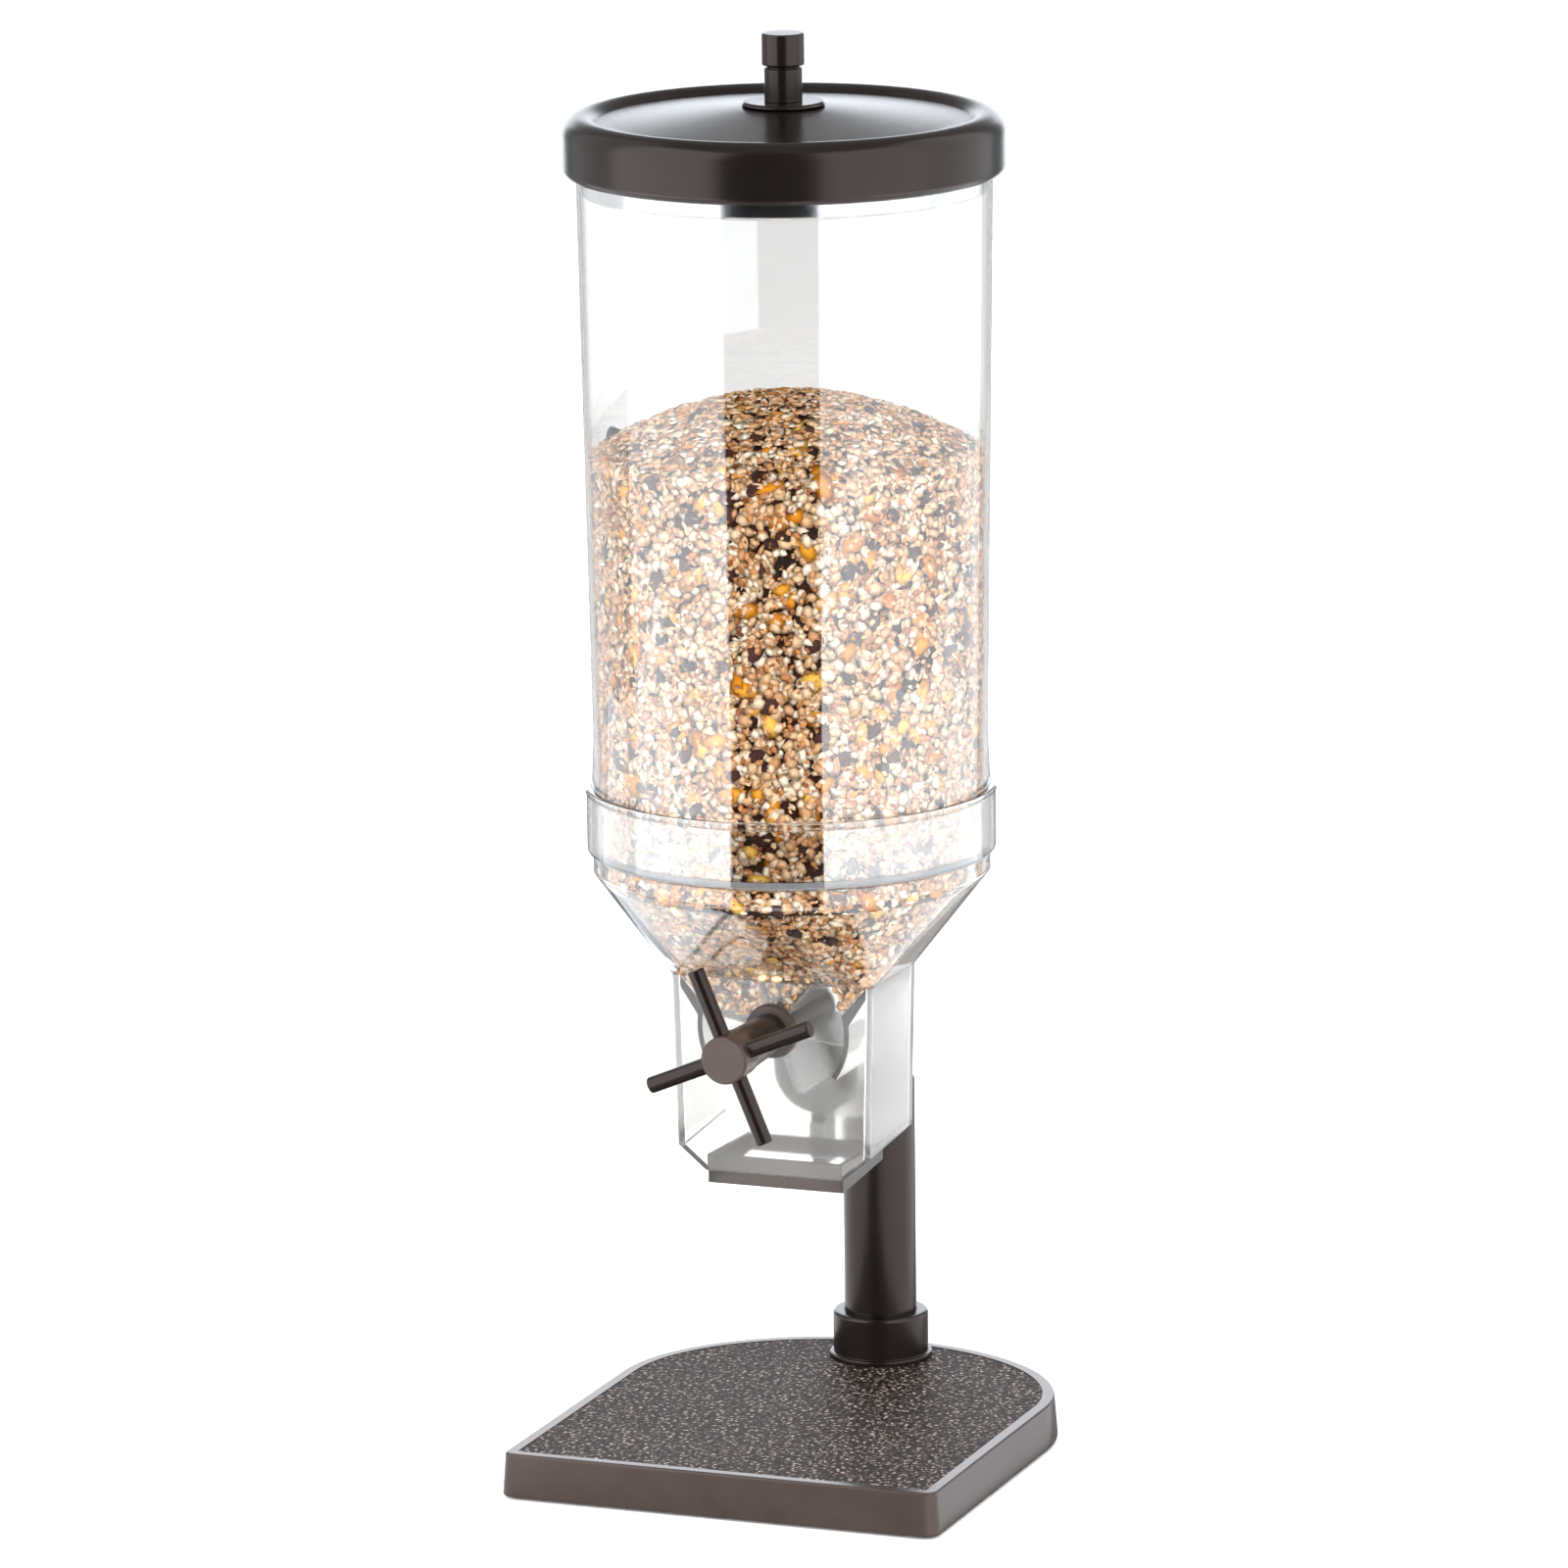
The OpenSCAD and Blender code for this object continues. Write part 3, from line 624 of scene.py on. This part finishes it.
def funnel():
    """Round-to-rectangle funnel with the ring that holds the tube."""
    wall = WALL / MM
    neck_top = NECK_HIGH.z / MM
    levels = 12
    bm = bmesh.new()
    rings = []
    for k in range(levels + 1):
        share = k / levels
        rings.append(funnel_ring(bm, 0, share, neck_top + (FUNNEL_TOP - neck_top) * share))
    seat = TUBE_FOOT_R + 0.4
    ledge = low("tube_seal").z / MM
    waist = FUNNEL_TOP + 1
    step = 240.0
    bead = RING_R + RING_BEAD
    bead_low = RING_TOP - 2.3
    inside = TUBE_FOOT_R - wall
    barrel = [(TUBE_FOOT_R, waist, 0), (TUBE_FOOT_R, step, 0.6), (RING_R, step + 1.2, 0.9),
              (RING_R, bead_low - RING_BEAD, 0.5), (bead, bead_low, 0.4),
              (bead, RING_TOP, 0.7), (seat, RING_TOP, 0.4), (seat, ledge, 0.3),
              (inside, ledge, 0.4), (inside, waist, 0)]
    directions = [Vector((v.co.x, v.co.y - AXIS.y, 0)).normalized() for v in rings[-1]]
    for p in rounded(barrel, 4):
        height = Vector((0, 0, p.y * MM))
        rings.append([bm.verts.new(AXIS + direction * p.x * MM + height) for direction in directions])
    for k in range(levels, -1, -1):
        share = k / levels
        rings.append(funnel_ring(bm, wall, share, neck_top + (FUNNEL_TOP - neck_top) * share))
    bridge(bm, rings + rings[:1])
    piece = finish_piece("clear_funnel", mesh_from_bmesh("clear_funnel", bm), CLEAR, "container",
                         replaces=["funnel"], slot="clear_plastic")
    return weighted(piece)


SPOUT_TILT = math.tan(math.radians(4))  # the mouth's rise to the rear, per unit of depth
SPOUT_Z = low("spout_ring").z / MM
LIP_Z = SPOUT_Z + 5.3
FOLD_Z = SPOUT_Z + 14.3


def neck_ring(bm, half, inset, z, tilted):
    """One level of the neck: a rectangle with round corners, tilted up to the rear near the spout."""
    corner_r = 1.5 if inset == 0 else 0.6
    front = (NECK_LOW.y - AXIS.y) / MM + inset
    back = (NECK_HIGH.y - AXIS.y) / MM - inset
    ring = []
    steps = 6
    corners = ((half, back), (-half, back), (-half, front), (half, front))
    for quarter, (x, y) in enumerate(corners):
        cx = x - math.copysign(corner_r, x)
        cy = y - math.copysign(corner_r, y)
        for k in range(steps + 1):
            a = math.radians(90 * (quarter + k / steps))
            px = cx + corner_r * math.cos(a)
            py = cy + corner_r * math.sin(a)
            rise = (py - front) * SPOUT_TILT if tilted else 0
            ring.append(bm.verts.new((px * MM, AXIS.y + py * MM, (z + rise) * MM)))
    return ring


def neck_housing():
    """Frosted neck with drafted sides and a chamfered lower end that rises to the rear."""
    wall = WALL / MM
    top = NECK_HIGH.z / MM
    fold = NECK_HALF - 1.7
    mouth = 28
    opening = high("spout_ring").x / MM + 0.05
    bm = bmesh.new()
    rings = [neck_ring(bm, NECK_HALF, 0, top, False),
             neck_ring(bm, fold, 0, FOLD_Z, True),
             neck_ring(bm, mouth, 0, LIP_Z, True),
             neck_ring(bm, opening, wall, LIP_Z, True),
             neck_ring(bm, opening, wall, LIP_Z + 1.5, True),
             neck_ring(bm, fold - wall, wall, FOLD_Z, True),
             neck_ring(bm, NECK_HALF - wall, wall, top, False)]
    bridge(bm, rings + rings[:1])
    piece = finish_piece("frosted_neck", mesh_from_bmesh("frosted_neck", bm), FROSTED, "container",
                         replaces=["neck_housing"], slot="frosted_plastic")
    bevelled(piece, 0.4 * MM)
    return weighted(piece)


# ---------------------------------------------------------------------------
# Lid
# ---------------------------------------------------------------------------

LID_CROWN = high("lid_shell").z / MM
LID_HOLE_R = 2.7
LID_FLAT_R = 15  # the flat middle under the grommet, which lies 0.2 mm below the crown
LID_FLAT_Z = LID_CROWN - 0.2


def arc(x, z, radius, start, end, steps):
    """Points on a circle between two angles in degrees."""
    angles = [math.radians(start + (end - start) * k / steps) for k in range(steps + 1)]
    return [(x + radius * math.cos(a), z + radius * math.sin(a)) for a in angles]


def lid_cover():
    """A pressed shell: a rounded rim with a bead, a domed top and a turned-in lower edge."""
    outer = high("lid_shell").x / MM
    edge = low("lid_shell").z / MM
    rim = 520.3
    bead = 7.5
    bead_end = 140
    lip = 3.2
    skin = 1.2
    dome_r, dome_z = arc(outer - bead, rim - bead, bead, bead_end, 0, 1)[0]
    dome = [(LID_FLAT_R + (dome_r - LID_FLAT_R) * k / 10, LID_FLAT_Z + (dome_z - LID_FLAT_Z) * k / 10)
            for k in range(1, 10)]
    outline = [(LID_HOLE_R, LID_CROWN), (LID_FLAT_R, LID_FLAT_Z)]
    outline += dome
    outline += arc(outer - bead, rim - bead, bead, bead_end, 0, 20)
    outline += arc(outer - lip, edge + lip, lip, 0, -90, 8)
    outline += arc(outer - lip, edge + lip, lip - skin, -90, 0, 8)
    outline += arc(outer - bead, rim - bead, bead - skin, 0, bead_end, 20)
    outline += [(r, z - skin) for r, z in reversed(dome)]
    outline += [(LID_FLAT_R, LID_FLAT_Z - skin), (LID_HOLE_R, LID_CROWN - skin)]
    bm = lathe([(r * MM, z * MM) for r, z in outline], AXIS, UP, 192)
    piece = finish_piece("lid_cover", mesh_from_bmesh("lid_cover", bm), BROWN, "lid",
                         replaces=["lid_shell"], slot="brown_metal")
    return weighted(piece)


def lid_handle():
    """The grommet on the lid's middle, the stem with a groove, and the cap."""
    top = low("knob_stem").z / MM
    turned_piece("lid_grommet",
                 [(LID_HOLE_R, LID_CROWN, 0), (LID_FLAT_R, LID_FLAT_Z, 0), (15.8, LID_CROWN + 0.4, 0.4),
                  (14.8, top, 0.5), (LID_HOLE_R, top, 0)],
                 BROWN, "lid", replaces=["lid_washer"], slot="brown_metal", segments=96)
    stem_top = high("knob_stem").z / MM
    stem_r = 7.1
    groove_r = 6.2
    turned_piece("handle_stem",
                 [(0, top, 0), (stem_r, top, 0.2), (stem_r, stem_top - 1.2, 0.3),
                  (groove_r, stem_top - 0.9, 0.1), (groove_r, stem_top, 0), (0, stem_top, 0)],
                 BROWN, "lid", replaces=["knob_stem"], slot="brown_metal", segments=72)
    cap_top = high("knob_cap").z / MM
    cap_r = 8
    turned_piece("handle_cap",
                 [(0, stem_top, 0), (cap_r, stem_top, 0.6), (cap_r, cap_top, 0.8), (0, cap_top, 0)],
                 BROWN, "lid", replaces=["knob_cap"], slot="brown_metal", segments=72)


# ---------------------------------------------------------------------------
# Star knob and portioning wheel
# ---------------------------------------------------------------------------

ARM_TURN = 22.7  # degrees that the first arm stands above the level
PADDLE_TURN = 50
PADDLE_SPACING = 60
PADDLE_COLUMNS = 10
PADDLE_ROWS = 14


def around_shaft(angle):
    """Unit vector at an angle round the wheel's shaft, from +X towards +Z, in radians."""
    return Vector((math.cos(angle), 0, math.sin(angle)))


def star_knob():
    """The disc, the tapered sleeve behind it and four round arms."""
    front = (low("star_hub").y - AXIS.y) / MM
    joint = (high("star_hub").y - AXIS.y) / MM
    rear = (high("star_boss").y - AXIS.y) / MM
    radius = (high("star_hub").x - low("star_hub").x) / 2 / MM
    # The disc takes the paler brown, painted light for its front face.
    turned_piece("star_disc",
                 [(0, front, 0), (radius, front, 0.9), (radius, joint, 0.5), (0, joint, 0)],
                 PAINTED_LIT_BROWN, "wheel", origin=SHAFT, axis=BACK, replaces=["star_hub"],
                 slot="brown_metal", segments=96)
    bore = 4.05
    sleeve_end_r = 7.4
    turned_piece("star_sleeve",
                 [(bore, joint, 0), (radius - 0.6, joint, 0.4), (sleeve_end_r, rear, 0.4),
                  (bore, rear, 0)],
                 BROWN, "wheel", origin=SHAFT, axis=BACK, replaces=["star_boss"],
                 slot="brown_metal", segments=96)
    arm_r = 3.2
    start = 5.3
    reach = 35
    centre = SHAFT + Vector((0, (front + 6.8) * MM, 0))
    for index in range(4):
        direction = around_shaft(math.radians(ARM_TURN + 90 * index))
        turned_piece(f"star_rod_{index + 1}",
                     [(0, start, 0), (arm_r, start, 0.3), (arm_r, reach, 0.8), (0, reach, 0)],
                     BROWN, "wheel", origin=centre, axis=direction, replaces=[f"star_arm_{index + 1}"],
                     slot="brown_metal", segments=40)


def paddle_sheet(bm, index, side):
    """One face of a paddle, as rows of vertices from its root to its tip."""
    front, back = low("rotor_hub").y, high("rotor_hub").y
    tip = 27.5 * MM
    root = 7.6 * MM
    corner = 4 * MM
    root_half, taper = 1.0 * MM, 0.45
    rim_share = 0.55
    turn = math.radians(PADDLE_TURN + PADDLE_SPACING * index)
    out = around_shaft(turn)
    across = around_shaft(turn + math.pi / 2)
    sheet = []
    for i in range(PADDLE_COLUMNS + 1):
        along = i / PADDLE_COLUMNS
        reach = root + (tip - root) * along
        over = max(0.0, reach - (tip - corner)) / corner
        trim = corner * (1 - math.sqrt(max(0.0, 1 - over ** 2)))
        row = []
        for j in range(PADDLE_ROWS + 1):
            y = front + trim + (back - front - 2 * trim) * j / PADDLE_ROWS
            on_rim = min(j, PADDLE_ROWS - j, PADDLE_COLUMNS - i) == 0
            half = root_half * (1 - taper * along) * (rim_share if on_rim else 1.0)
            row.append(bm.verts.new(Vector((SHAFT.x, y, SHAFT.z)) + out * reach + across * half * side))
        sheet.append(row)
    return sheet


def paddles():
    """Six soft blades with thick roots, thin tips and rounded outer corners."""
    columns, rows = PADDLE_COLUMNS, PADDLE_ROWS
    rim = [(i, 0) for i in range(columns)] + [(columns, j) for j in range(rows)]
    rim += [(i, rows) for i in range(columns, 0, -1)] + [(0, j) for j in range(rows, 0, -1)]
    for index in range(6):
        bm = bmesh.new()
        sheets = [paddle_sheet(bm, index, side) for side in (1, -1)]
        for sheet in sheets:
            for i in range(columns):
                for j in range(rows):
                    bm.faces.new((sheet[i][j], sheet[i + 1][j], sheet[i + 1][j + 1], sheet[i][j + 1]))
        upper, lower = sheets
        for (i, j), (k, l) in zip(rim, rim[1:] + rim[:1]):
            bm.faces.new((upper[i][j], upper[k][l], lower[k][l], lower[i][j]))
        name = f"soft_paddle_{index + 1}"
        finish_piece(name, mesh_from_bmesh(name, bm), SILICONE, "wheel",
                     replaces=[f"paddle_{index + 1}"], slot="silicone")


# ---------------------------------------------------------------------------
# Cereal
# ---------------------------------------------------------------------------

def wobble(points, amount, scale, seed):
    """Moves points by smooth noise; each seed looks at another part of the noise."""
    elsewhere = Vector((seed * 7.3, seed * 3.1, seed * 1.7))
    shifts = [noise.noise_vector(Vector(p) * scale + elsewhere) for p in points]
    return np.array(points) + amount * np.array(shifts)


def flake_shape(width, length, thickness, curl, seed, around=7):
    """A thin lens, dished and wavy, with an uneven rim."""
    points = [(0, 0, thickness / 2), (0, 0, -thickness / 2)]
    for k in range(around):
        a = 2 * math.pi * k / around
        uneven = 1 + 0.16 * math.sin(2 * a + seed) + 0.12 * math.sin(5 * a + 2.3 * seed)
        points.append((uneven * width / 2 * math.cos(a), uneven * length / 2 * math.sin(a), 0))
    points = np.array(points)
    across, along = points[:, 0] / (width / 2), points[:, 1] / (length / 2)
    points[:, 2] += curl * (across ** 2 + 0.4 * along ** 2)
    points = wobble(points, 0.25 * thickness, 0.5, seed)
    faces = []
    for k in range(around):
        here, after = 2 + k, 2 + (k + 1) % around
        faces.append((0, here, after))
        faces.append((1, after, here))
    return points, np.array(faces)


def lump_shape(width, length, height, roughness, seed, subdivisions=1):
    """An uneven lump, such as a crumb or a raisin."""
    bm = bmesh.new()
    bmesh.ops.create_icosphere(bm, subdivisions=subdivisions, radius=0.5)
    points = np.array([v.co for v in bm.verts])
    faces = np.array([[v.index for v in f.verts] for f in bm.faces])
    bm.free()
    points = wobble(points, roughness, 2.6, seed)
    return points * np.array([width, length, height]), faces


def surface_samples(mesh, count):
    """Points spread evenly over a mesh, with their outward normals, in metres."""
    mesh.calc_loop_triangles()
    points = np.array([v.co for v in mesh.vertices])
    triangles = np.array([t.vertices for t in mesh.loop_triangles])
    a, b, c = (points[triangles[:, k]] for k in range(3))
    cross = np.cross(b - a, c - a)
    area = np.linalg.norm(cross, axis=1)
    picks = rng.choice(len(area), count, p=area / area.sum())
    u, v = rng.random(count), rng.random(count)
    flip = u + v > 1
    u[flip], v[flip] = 1 - u[flip], 1 - v[flip]
    where = a[picks] + (b - a)[picks] * u[:, None] + (c - a)[picks] * v[:, None]
    return where, cross[picks] / area[picks][:, None]


def random_frames(normals, tilt):
    """Rotation matrices whose third axis leans from each normal by a random tilt in radians."""
    count = len(normals)
    steepest = 1.2
    slopes = np.tan(np.clip(rng.normal(0, tilt, count), -steepest, steepest))
    third = unit(normals + slopes[:, None] * unit(rng.normal(size=(count, 3))))
    first = unit(np.cross(third, unit(rng.normal(size=(count, 3)))))
    second = np.cross(third, first)
    return np.stack([first, second, third], axis=2)


def unit(vectors):
    """Each vector scaled to a length of 1."""
    return vectors / np.linalg.norm(vectors, axis=-1, keepdims=True)


def triangle_mesh(name, vertices, triangles):
    """A mesh made from arrays of vertices and triangles in one go."""
    data = bpy.data.meshes.new(name)
    data.vertices.add(len(vertices))
    data.vertices.foreach_set("co", vertices.astype(np.float32).ravel())
    data.loops.add(triangles.size)
    data.loops.foreach_set("vertex_index", triangles.astype(np.int32).ravel())
    data.polygons.add(len(triangles))
    data.polygons.foreach_set("loop_start", np.arange(0, triangles.size, 3, dtype=np.int32))
    data.update(calc_edges=True)
    return data


def scatter(name, shapes, mesh, count, depth, tilt, material, body, size):
    """Copies of shapes packed just under a surface, none of them standing out of it.

    depth is the least and the most that a copy's highest point lies under the surface, in millimetres.
    """
    all_points, all_faces, all_tones = [], [], []
    start = 0
    for points, faces in shapes:
        share = count // len(shapes)
        where, normals = surface_samples(mesh, share)
        turns = random_frames(normals, tilt)
        scales = rng.uniform(*size, share)
        local = np.einsum("nij,pj->npi", turns, points * MM) * scales[:, None, None]
        proud = np.einsum("npi,ni->np", local, normals).max(axis=1)
        sunk = proud + rng.uniform(*depth, share) * MM
        placed = local + (where - normals * sunk[:, None])[:, None, :]
        all_points.append(placed.reshape(-1, 3))
        step = np.arange(share)[:, None, None] * len(points)
        all_faces.append((faces[None] + step + start).reshape(-1, 3))
        all_tones.append(np.repeat(rng.random(share), len(points)))
        start += share * len(points)
    data = triangle_mesh(name, np.concatenate(all_points), np.concatenate(all_faces))
    tone = data.attributes.new("tone", "FLOAT", "POINT")
    tone.data.foreach_set("value", np.concatenate(all_tones).astype(np.float32))
    return finish_piece(name, data, material, body, slot="cereal")


def fill_core():
    """The body of the cereal under the visible flakes, a little inside the CAD fill."""
    bm = bmesh.new()
    bm.from_mesh(frame["nodes"]["cereal_fill"].data)
    bmesh.ops.remove_doubles(bm, verts=bm.verts, dist=1e-6)
    bm.normal_update()
    sink = 3.6 * MM
    shifts = [(v, v.normal * sink) for v in bm.verts]
    for vertex, shift in shifts:
        vertex.co -= shift
    return mesh_from_bmesh("cereal_core", bm)


def pocket_wedge(turn_low, turn_high):
    """The space between two paddles, seen along the shaft as a sector."""
    front = low("rotor_hub").y + 1.0 * MM
    back = high("rotor_hub").y - 1.0 * MM
    inner, outer = 9.2 * MM, 26.6 * MM
    margin = math.radians(4)
    span = turn_high - turn_low - 2 * margin
    steps = 8
    bm = bmesh.new()
    rings = []
    for y in (front, back):
        centre = Vector((SHAFT.x, y, SHAFT.z))
        ring = []
        for radius, order in ((outer, range(steps + 1)), (inner, range(steps, -1, -1))):
            for k in order:
                a = turn_low + margin + span * k / steps
                ring.append(bm.verts.new(centre + around_shaft(a) * radius))
        rings.append(ring)
    bridge(bm, rings)
    for ring in rings:
        bm.faces.new(ring)
    bmesh.ops.triangulate(bm, faces=bm.faces)
    return mesh_from_bmesh("wedge", bm)


OAT = cereal_material("oat_flake", srgb(210, 154, 106), srgb(246, 212, 170), srgb(255, 245, 226))
CRUMB = cereal_material("bran_crumb", srgb(110, 66, 40), srgb(214, 148, 92), srgb(248, 212, 166))
CORN = cereal_material("corn_flake", srgb(206, 120, 16), srgb(238, 162, 36), srgb(250, 200, 90),
                       roughness=0.55)
RAISIN = cereal_material("raisin", srgb(26, 15, 13), srgb(52, 30, 26), srgb(78, 48, 42),
                         roughness=0.5, bump_scale=500, bump_height=0.5)
# The core is darker than any cereal over it: painted shade for the deep gaps between the flakes.
PAINTED_SHADE_CORE = cereal_material("cereal_core", srgb(54, 32, 18), srgb(80, 50, 28), srgb(110, 72, 44),
                       bump_scale=350, bump_height=1.0)


def cereal():
    """The muesli in the container, and the little of it that lies in the wheel's two upper pockets."""
    fill = frame["nodes"]["cereal_fill"].data
    # The dark core shows between the flakes as painted shade.
    finish_piece("cereal_core", fill_core(), PAINTED_SHADE_CORE, "container", replaces=["cereal_fill"], slot="cereal")
    oat_curls = ((0.4, 0.4), (-0.5, 1.3), (0.6, 2.1), (0.2, 3.2), (-0.3, 4.4))
    corn_curls = ((1.4, 5), (-1.2, 6), (1.0, 7))
    oats = [flake_shape(3.3, 4.3, 0.9, curl, seed) for curl, seed in oat_curls]
    crumbs = [lump_shape(1.5, 2.1, 1.2, 0.28, seed) for seed in (1, 2, 3, 4, 5)]
    corn = [flake_shape(7.4, 9.6, 1.4, curl, seed, 11) for curl, seed in corn_curls]
    raisins = [lump_shape(6.6, 9.4, 5.0, 0.13, seed, 2) for seed in (11, 12, 13)]
    # Each kind: name, shapes, how many, depths, tilt, material, least and greatest size
    in_container = (("oat_flakes", oats, 13000, (0, 2.0), 0.5, OAT, (0.65, 1.5)),
                    ("oat_flakes_below", oats, 8000, (2.0, 2.8), 0.3, OAT, (0.9, 1.5)),
                    ("bran_crumbs", crumbs, 9800, (0, 0.9), 0.8, CRUMB, (0.6, 1.7)),
                    ("corn_flakes", corn, 560, (0, 0.9), 0.35, CORN, (0.6, 1.2)),
                    ("raisins", raisins, 420, (0, 0.7), 0.3, RAISIN, (0.55, 1.2)))
    in_pocket = (("pocket_oats", oats, 260, (0, 1), 0.45, OAT, (0.7, 1.1)),
                 ("pocket_crumbs", crumbs, 400, (0, 1), 0.8, CRUMB, (0.6, 1.4)),
                 ("pocket_corn", corn, 12, (0, 0.5), 0.3, CORN, (0.4, 0.6)))
    for name, shapes, count, depth, tilt, material, size in in_container:
        scatter(name, shapes, fill, count, depth, tilt, material, "container", size)
    for index in (0, 1):
        turn = math.radians(PADDLE_TURN + PADDLE_SPACING * index)
        wedge = pocket_wedge(turn, turn + math.radians(PADDLE_SPACING))
        for name, shapes, count, depth, tilt, material, size in in_pocket:
            scatter(f"{name}_{index + 1}", shapes, wedge, count, depth, tilt, material, "wheel", size)


# ---------------------------------------------------------------------------
# Stage: a pale floor, upright walls of light all round with one dark gap, and a soft ceiling light
# ---------------------------------------------------------------------------

WHITE = (1, 1, 1)
COOL_WHITE = (0.93, 1.0, 1.08)
# The dark card spans these azimuths, in degrees round from the camera's own; its reflection is the
# dark strip down the tube, between the two bright walls beside it.
CARD_START = -32.5
CARD_END = 16.7

# Each wall: name, start and end azimuth, distance and height in metres, radiance
SHINE_WALLS = (("shine_left", -95, CARD_START, 0.6, 1.4, 1.42),
               ("shine_left_rear", -135, -95, 0.6, 1.4, 0.35),
               ("shine_right_front", CARD_END, 75, 0.6, 1.4, 1.16),
               ("shine_right_rear", 75, 130, 0.6, 1.4, 0.85))
REAR_WALL = ("shine_rear", 155, 205, 1.2, 0.82, 2.1)
SOFT_WALLS = (("soft_left", -110, -30, 1.2, 1.9, 1.4),
              ("soft_right", 20, 100, 1.2, 1.9, 1.2),
              ("soft_front", -40, 40, 1.6, 2.2, 4.9))
# Each panel under the floor: name, side of the object, radiance
FLOOR_PANELS = (("shine_floor_left", -1, 0.9), ("shine_floor_right", 1, 1.0))

# How bright the white surroundings are to each kind of ray
SURROUNDINGS_SEEN = 1.02
SURROUNDINGS_ON_MATT = 1.14
SURROUNDINGS_IN_SHINE = 0.3


def from_camera_azimuth(degrees):
    """Level unit vector at an azimuth round from the camera's own."""
    return look_direction(CAMERA_AZIMUTH + math.radians(degrees), 0)


def area_light(name, width, height, place, facing, radiance, matt):
    """A soft rectangular panel that faces along one direction.

    Each panel serves either matt surfaces or shiny ones, so that both can be set on their own.
    """
    data = bpy.data.lights.new(name, "AREA")
    data.shape = "RECTANGLE"
    data.size = width
    data.size_y = height
    data.energy = radiance * math.pi * width * height
    data.color = WHITE if matt else COOL_WHITE
    light = bpy.data.objects.new(name, data)
    bpy.context.scene.collection.objects.link(light)
    light.location = place
    light.rotation_mode = "QUATERNION"
    light.rotation_quaternion = (-facing).to_track_quat("Z", "Y")
    light.visible_camera = False
    light.visible_diffuse = matt
    light.visible_glossy = not matt
    light.visible_transmission = not matt
    return light


def wall_of_light(name, start, end, distance, height, radiance, matt):
    """An upright panel round the object that spans two azimuths from the camera's own, in degrees."""
    width = 2 * distance * math.tan(math.radians(end - start) / 2)
    direction = from_camera_azimuth((start + end) / 2)
    place = AXIS + direction * distance + Vector((0, 0, height / 2))
    return area_light(name, width, height, place, -direction, radiance, matt)


def stage_plane(name, corners, material):
    """A flat four-cornered part of the stage."""
    mesh = bpy.data.meshes.new(name)
    mesh.from_pydata(corners, [], [(0, 1, 2, 3)])
    plane = bpy.data.objects.new(name, mesh)
    bpy.context.scene.collection.objects.link(plane)
    mesh.materials.append(material)
    return plane


def stage_material(name, deep, pale, roughness, specular):
    """A matt surface with a very faint mottle."""
    m = Material(name)
    m.surface(Base_Color=m.ramp(m.noise(3), (0.3, deep), (0.7, pale)))
    m.surface(Roughness=roughness, Specular_IOR_Level=specular)
    return m.material


def floor():
    """A wide pale table, which shiny surfaces don't reflect."""
    half = 12
    corners = [(-half, -half, 0), (half, -half, 0), (half, half, 0), (-half, half, 0)]
    pale = stage_material("pale_floor", srgb(241, 241, 240), srgb(245, 245, 244), 0.8, 0.1)
    plane = stage_plane("floor", corners, pale)
    plane.visible_glossy = False


def dark_card():
    """Seen only in reflections and through clear plastic; it casts no shadow."""
    distance = 0.5
    top = Vector((0, 0, 1.2))
    dark = stage_material("dark_card", srgb(14, 14, 14), srgb(18, 18, 18), 0.9, 0.0)
    left = AXIS + from_camera_azimuth(CARD_START) * distance
    right = AXIS + from_camera_azimuth(CARD_END) * distance
    card = stage_plane("dark_card", [left, right, right + top, left + top], dark)
    card.visible_camera = False
    card.visible_diffuse = False
    card.visible_shadow = False


def lights():
    """Walls of light for shiny surfaces, and a softer set for matt ones."""
    for wall in SHINE_WALLS:
        wall_of_light(*wall, matt=False)
    rear = wall_of_light(*REAR_WALL, matt=False)
    rear.visible_transmission = False
    for name, side, radiance in FLOOR_PANELS:
        place = AXIS + from_camera_azimuth(side * 90) * 0.8 - UP * 2 * MM
        area_light(name, 1.3, 1.3, place, UP, radiance, matt=False)
    for wall in SOFT_WALLS:
        wall_of_light(*wall, matt=True)
    area_light("soft_top", 3.2, 3.2, AXIS + Vector((0, 0.3, 2.4)), -UP, 0.5, matt=True)


def surroundings():
    """An even white world, with its own brightness for each kind of ray."""
    world = bpy.data.worlds.new("studio")
    bpy.context.scene.world = world
    world.use_nodes = True
    tree = world.node_tree
    background = tree.nodes["Background"].inputs
    ray = tree.nodes.new("ShaderNodeLightPath")
    on_matt = tree.nodes.new("ShaderNodeMapRange")
    tree.links.new(ray.outputs["Is Diffuse Ray"], on_matt.inputs["Value"])
    on_matt.inputs["To Min"].default_value = SURROUNDINGS_SEEN
    on_matt.inputs["To Max"].default_value = SURROUNDINGS_ON_MATT
    in_shine = tree.nodes.new("ShaderNodeMapRange")
    tree.links.new(ray.outputs["Is Glossy Ray"], in_shine.inputs["Value"])
    tree.links.new(on_matt.outputs["Result"], in_shine.inputs["To Min"])
    in_shine.inputs["To Max"].default_value = SURROUNDINGS_IN_SHINE
    tree.links.new(in_shine.outputs["Result"], background["Strength"])
    background["Color"].default_value = (1, 1, 1, 1)
    bpy.context.scene.view_settings.view_transform = "Standard"


make_camera()
floor()
dark_card()
lights()
surroundings()
finish_cad_nodes()
base_plate()
base_panel()
post()
container_tube()
funnel()
neck_housing()
lid_cover()
lid_handle()
star_knob()
paddles()
cereal()
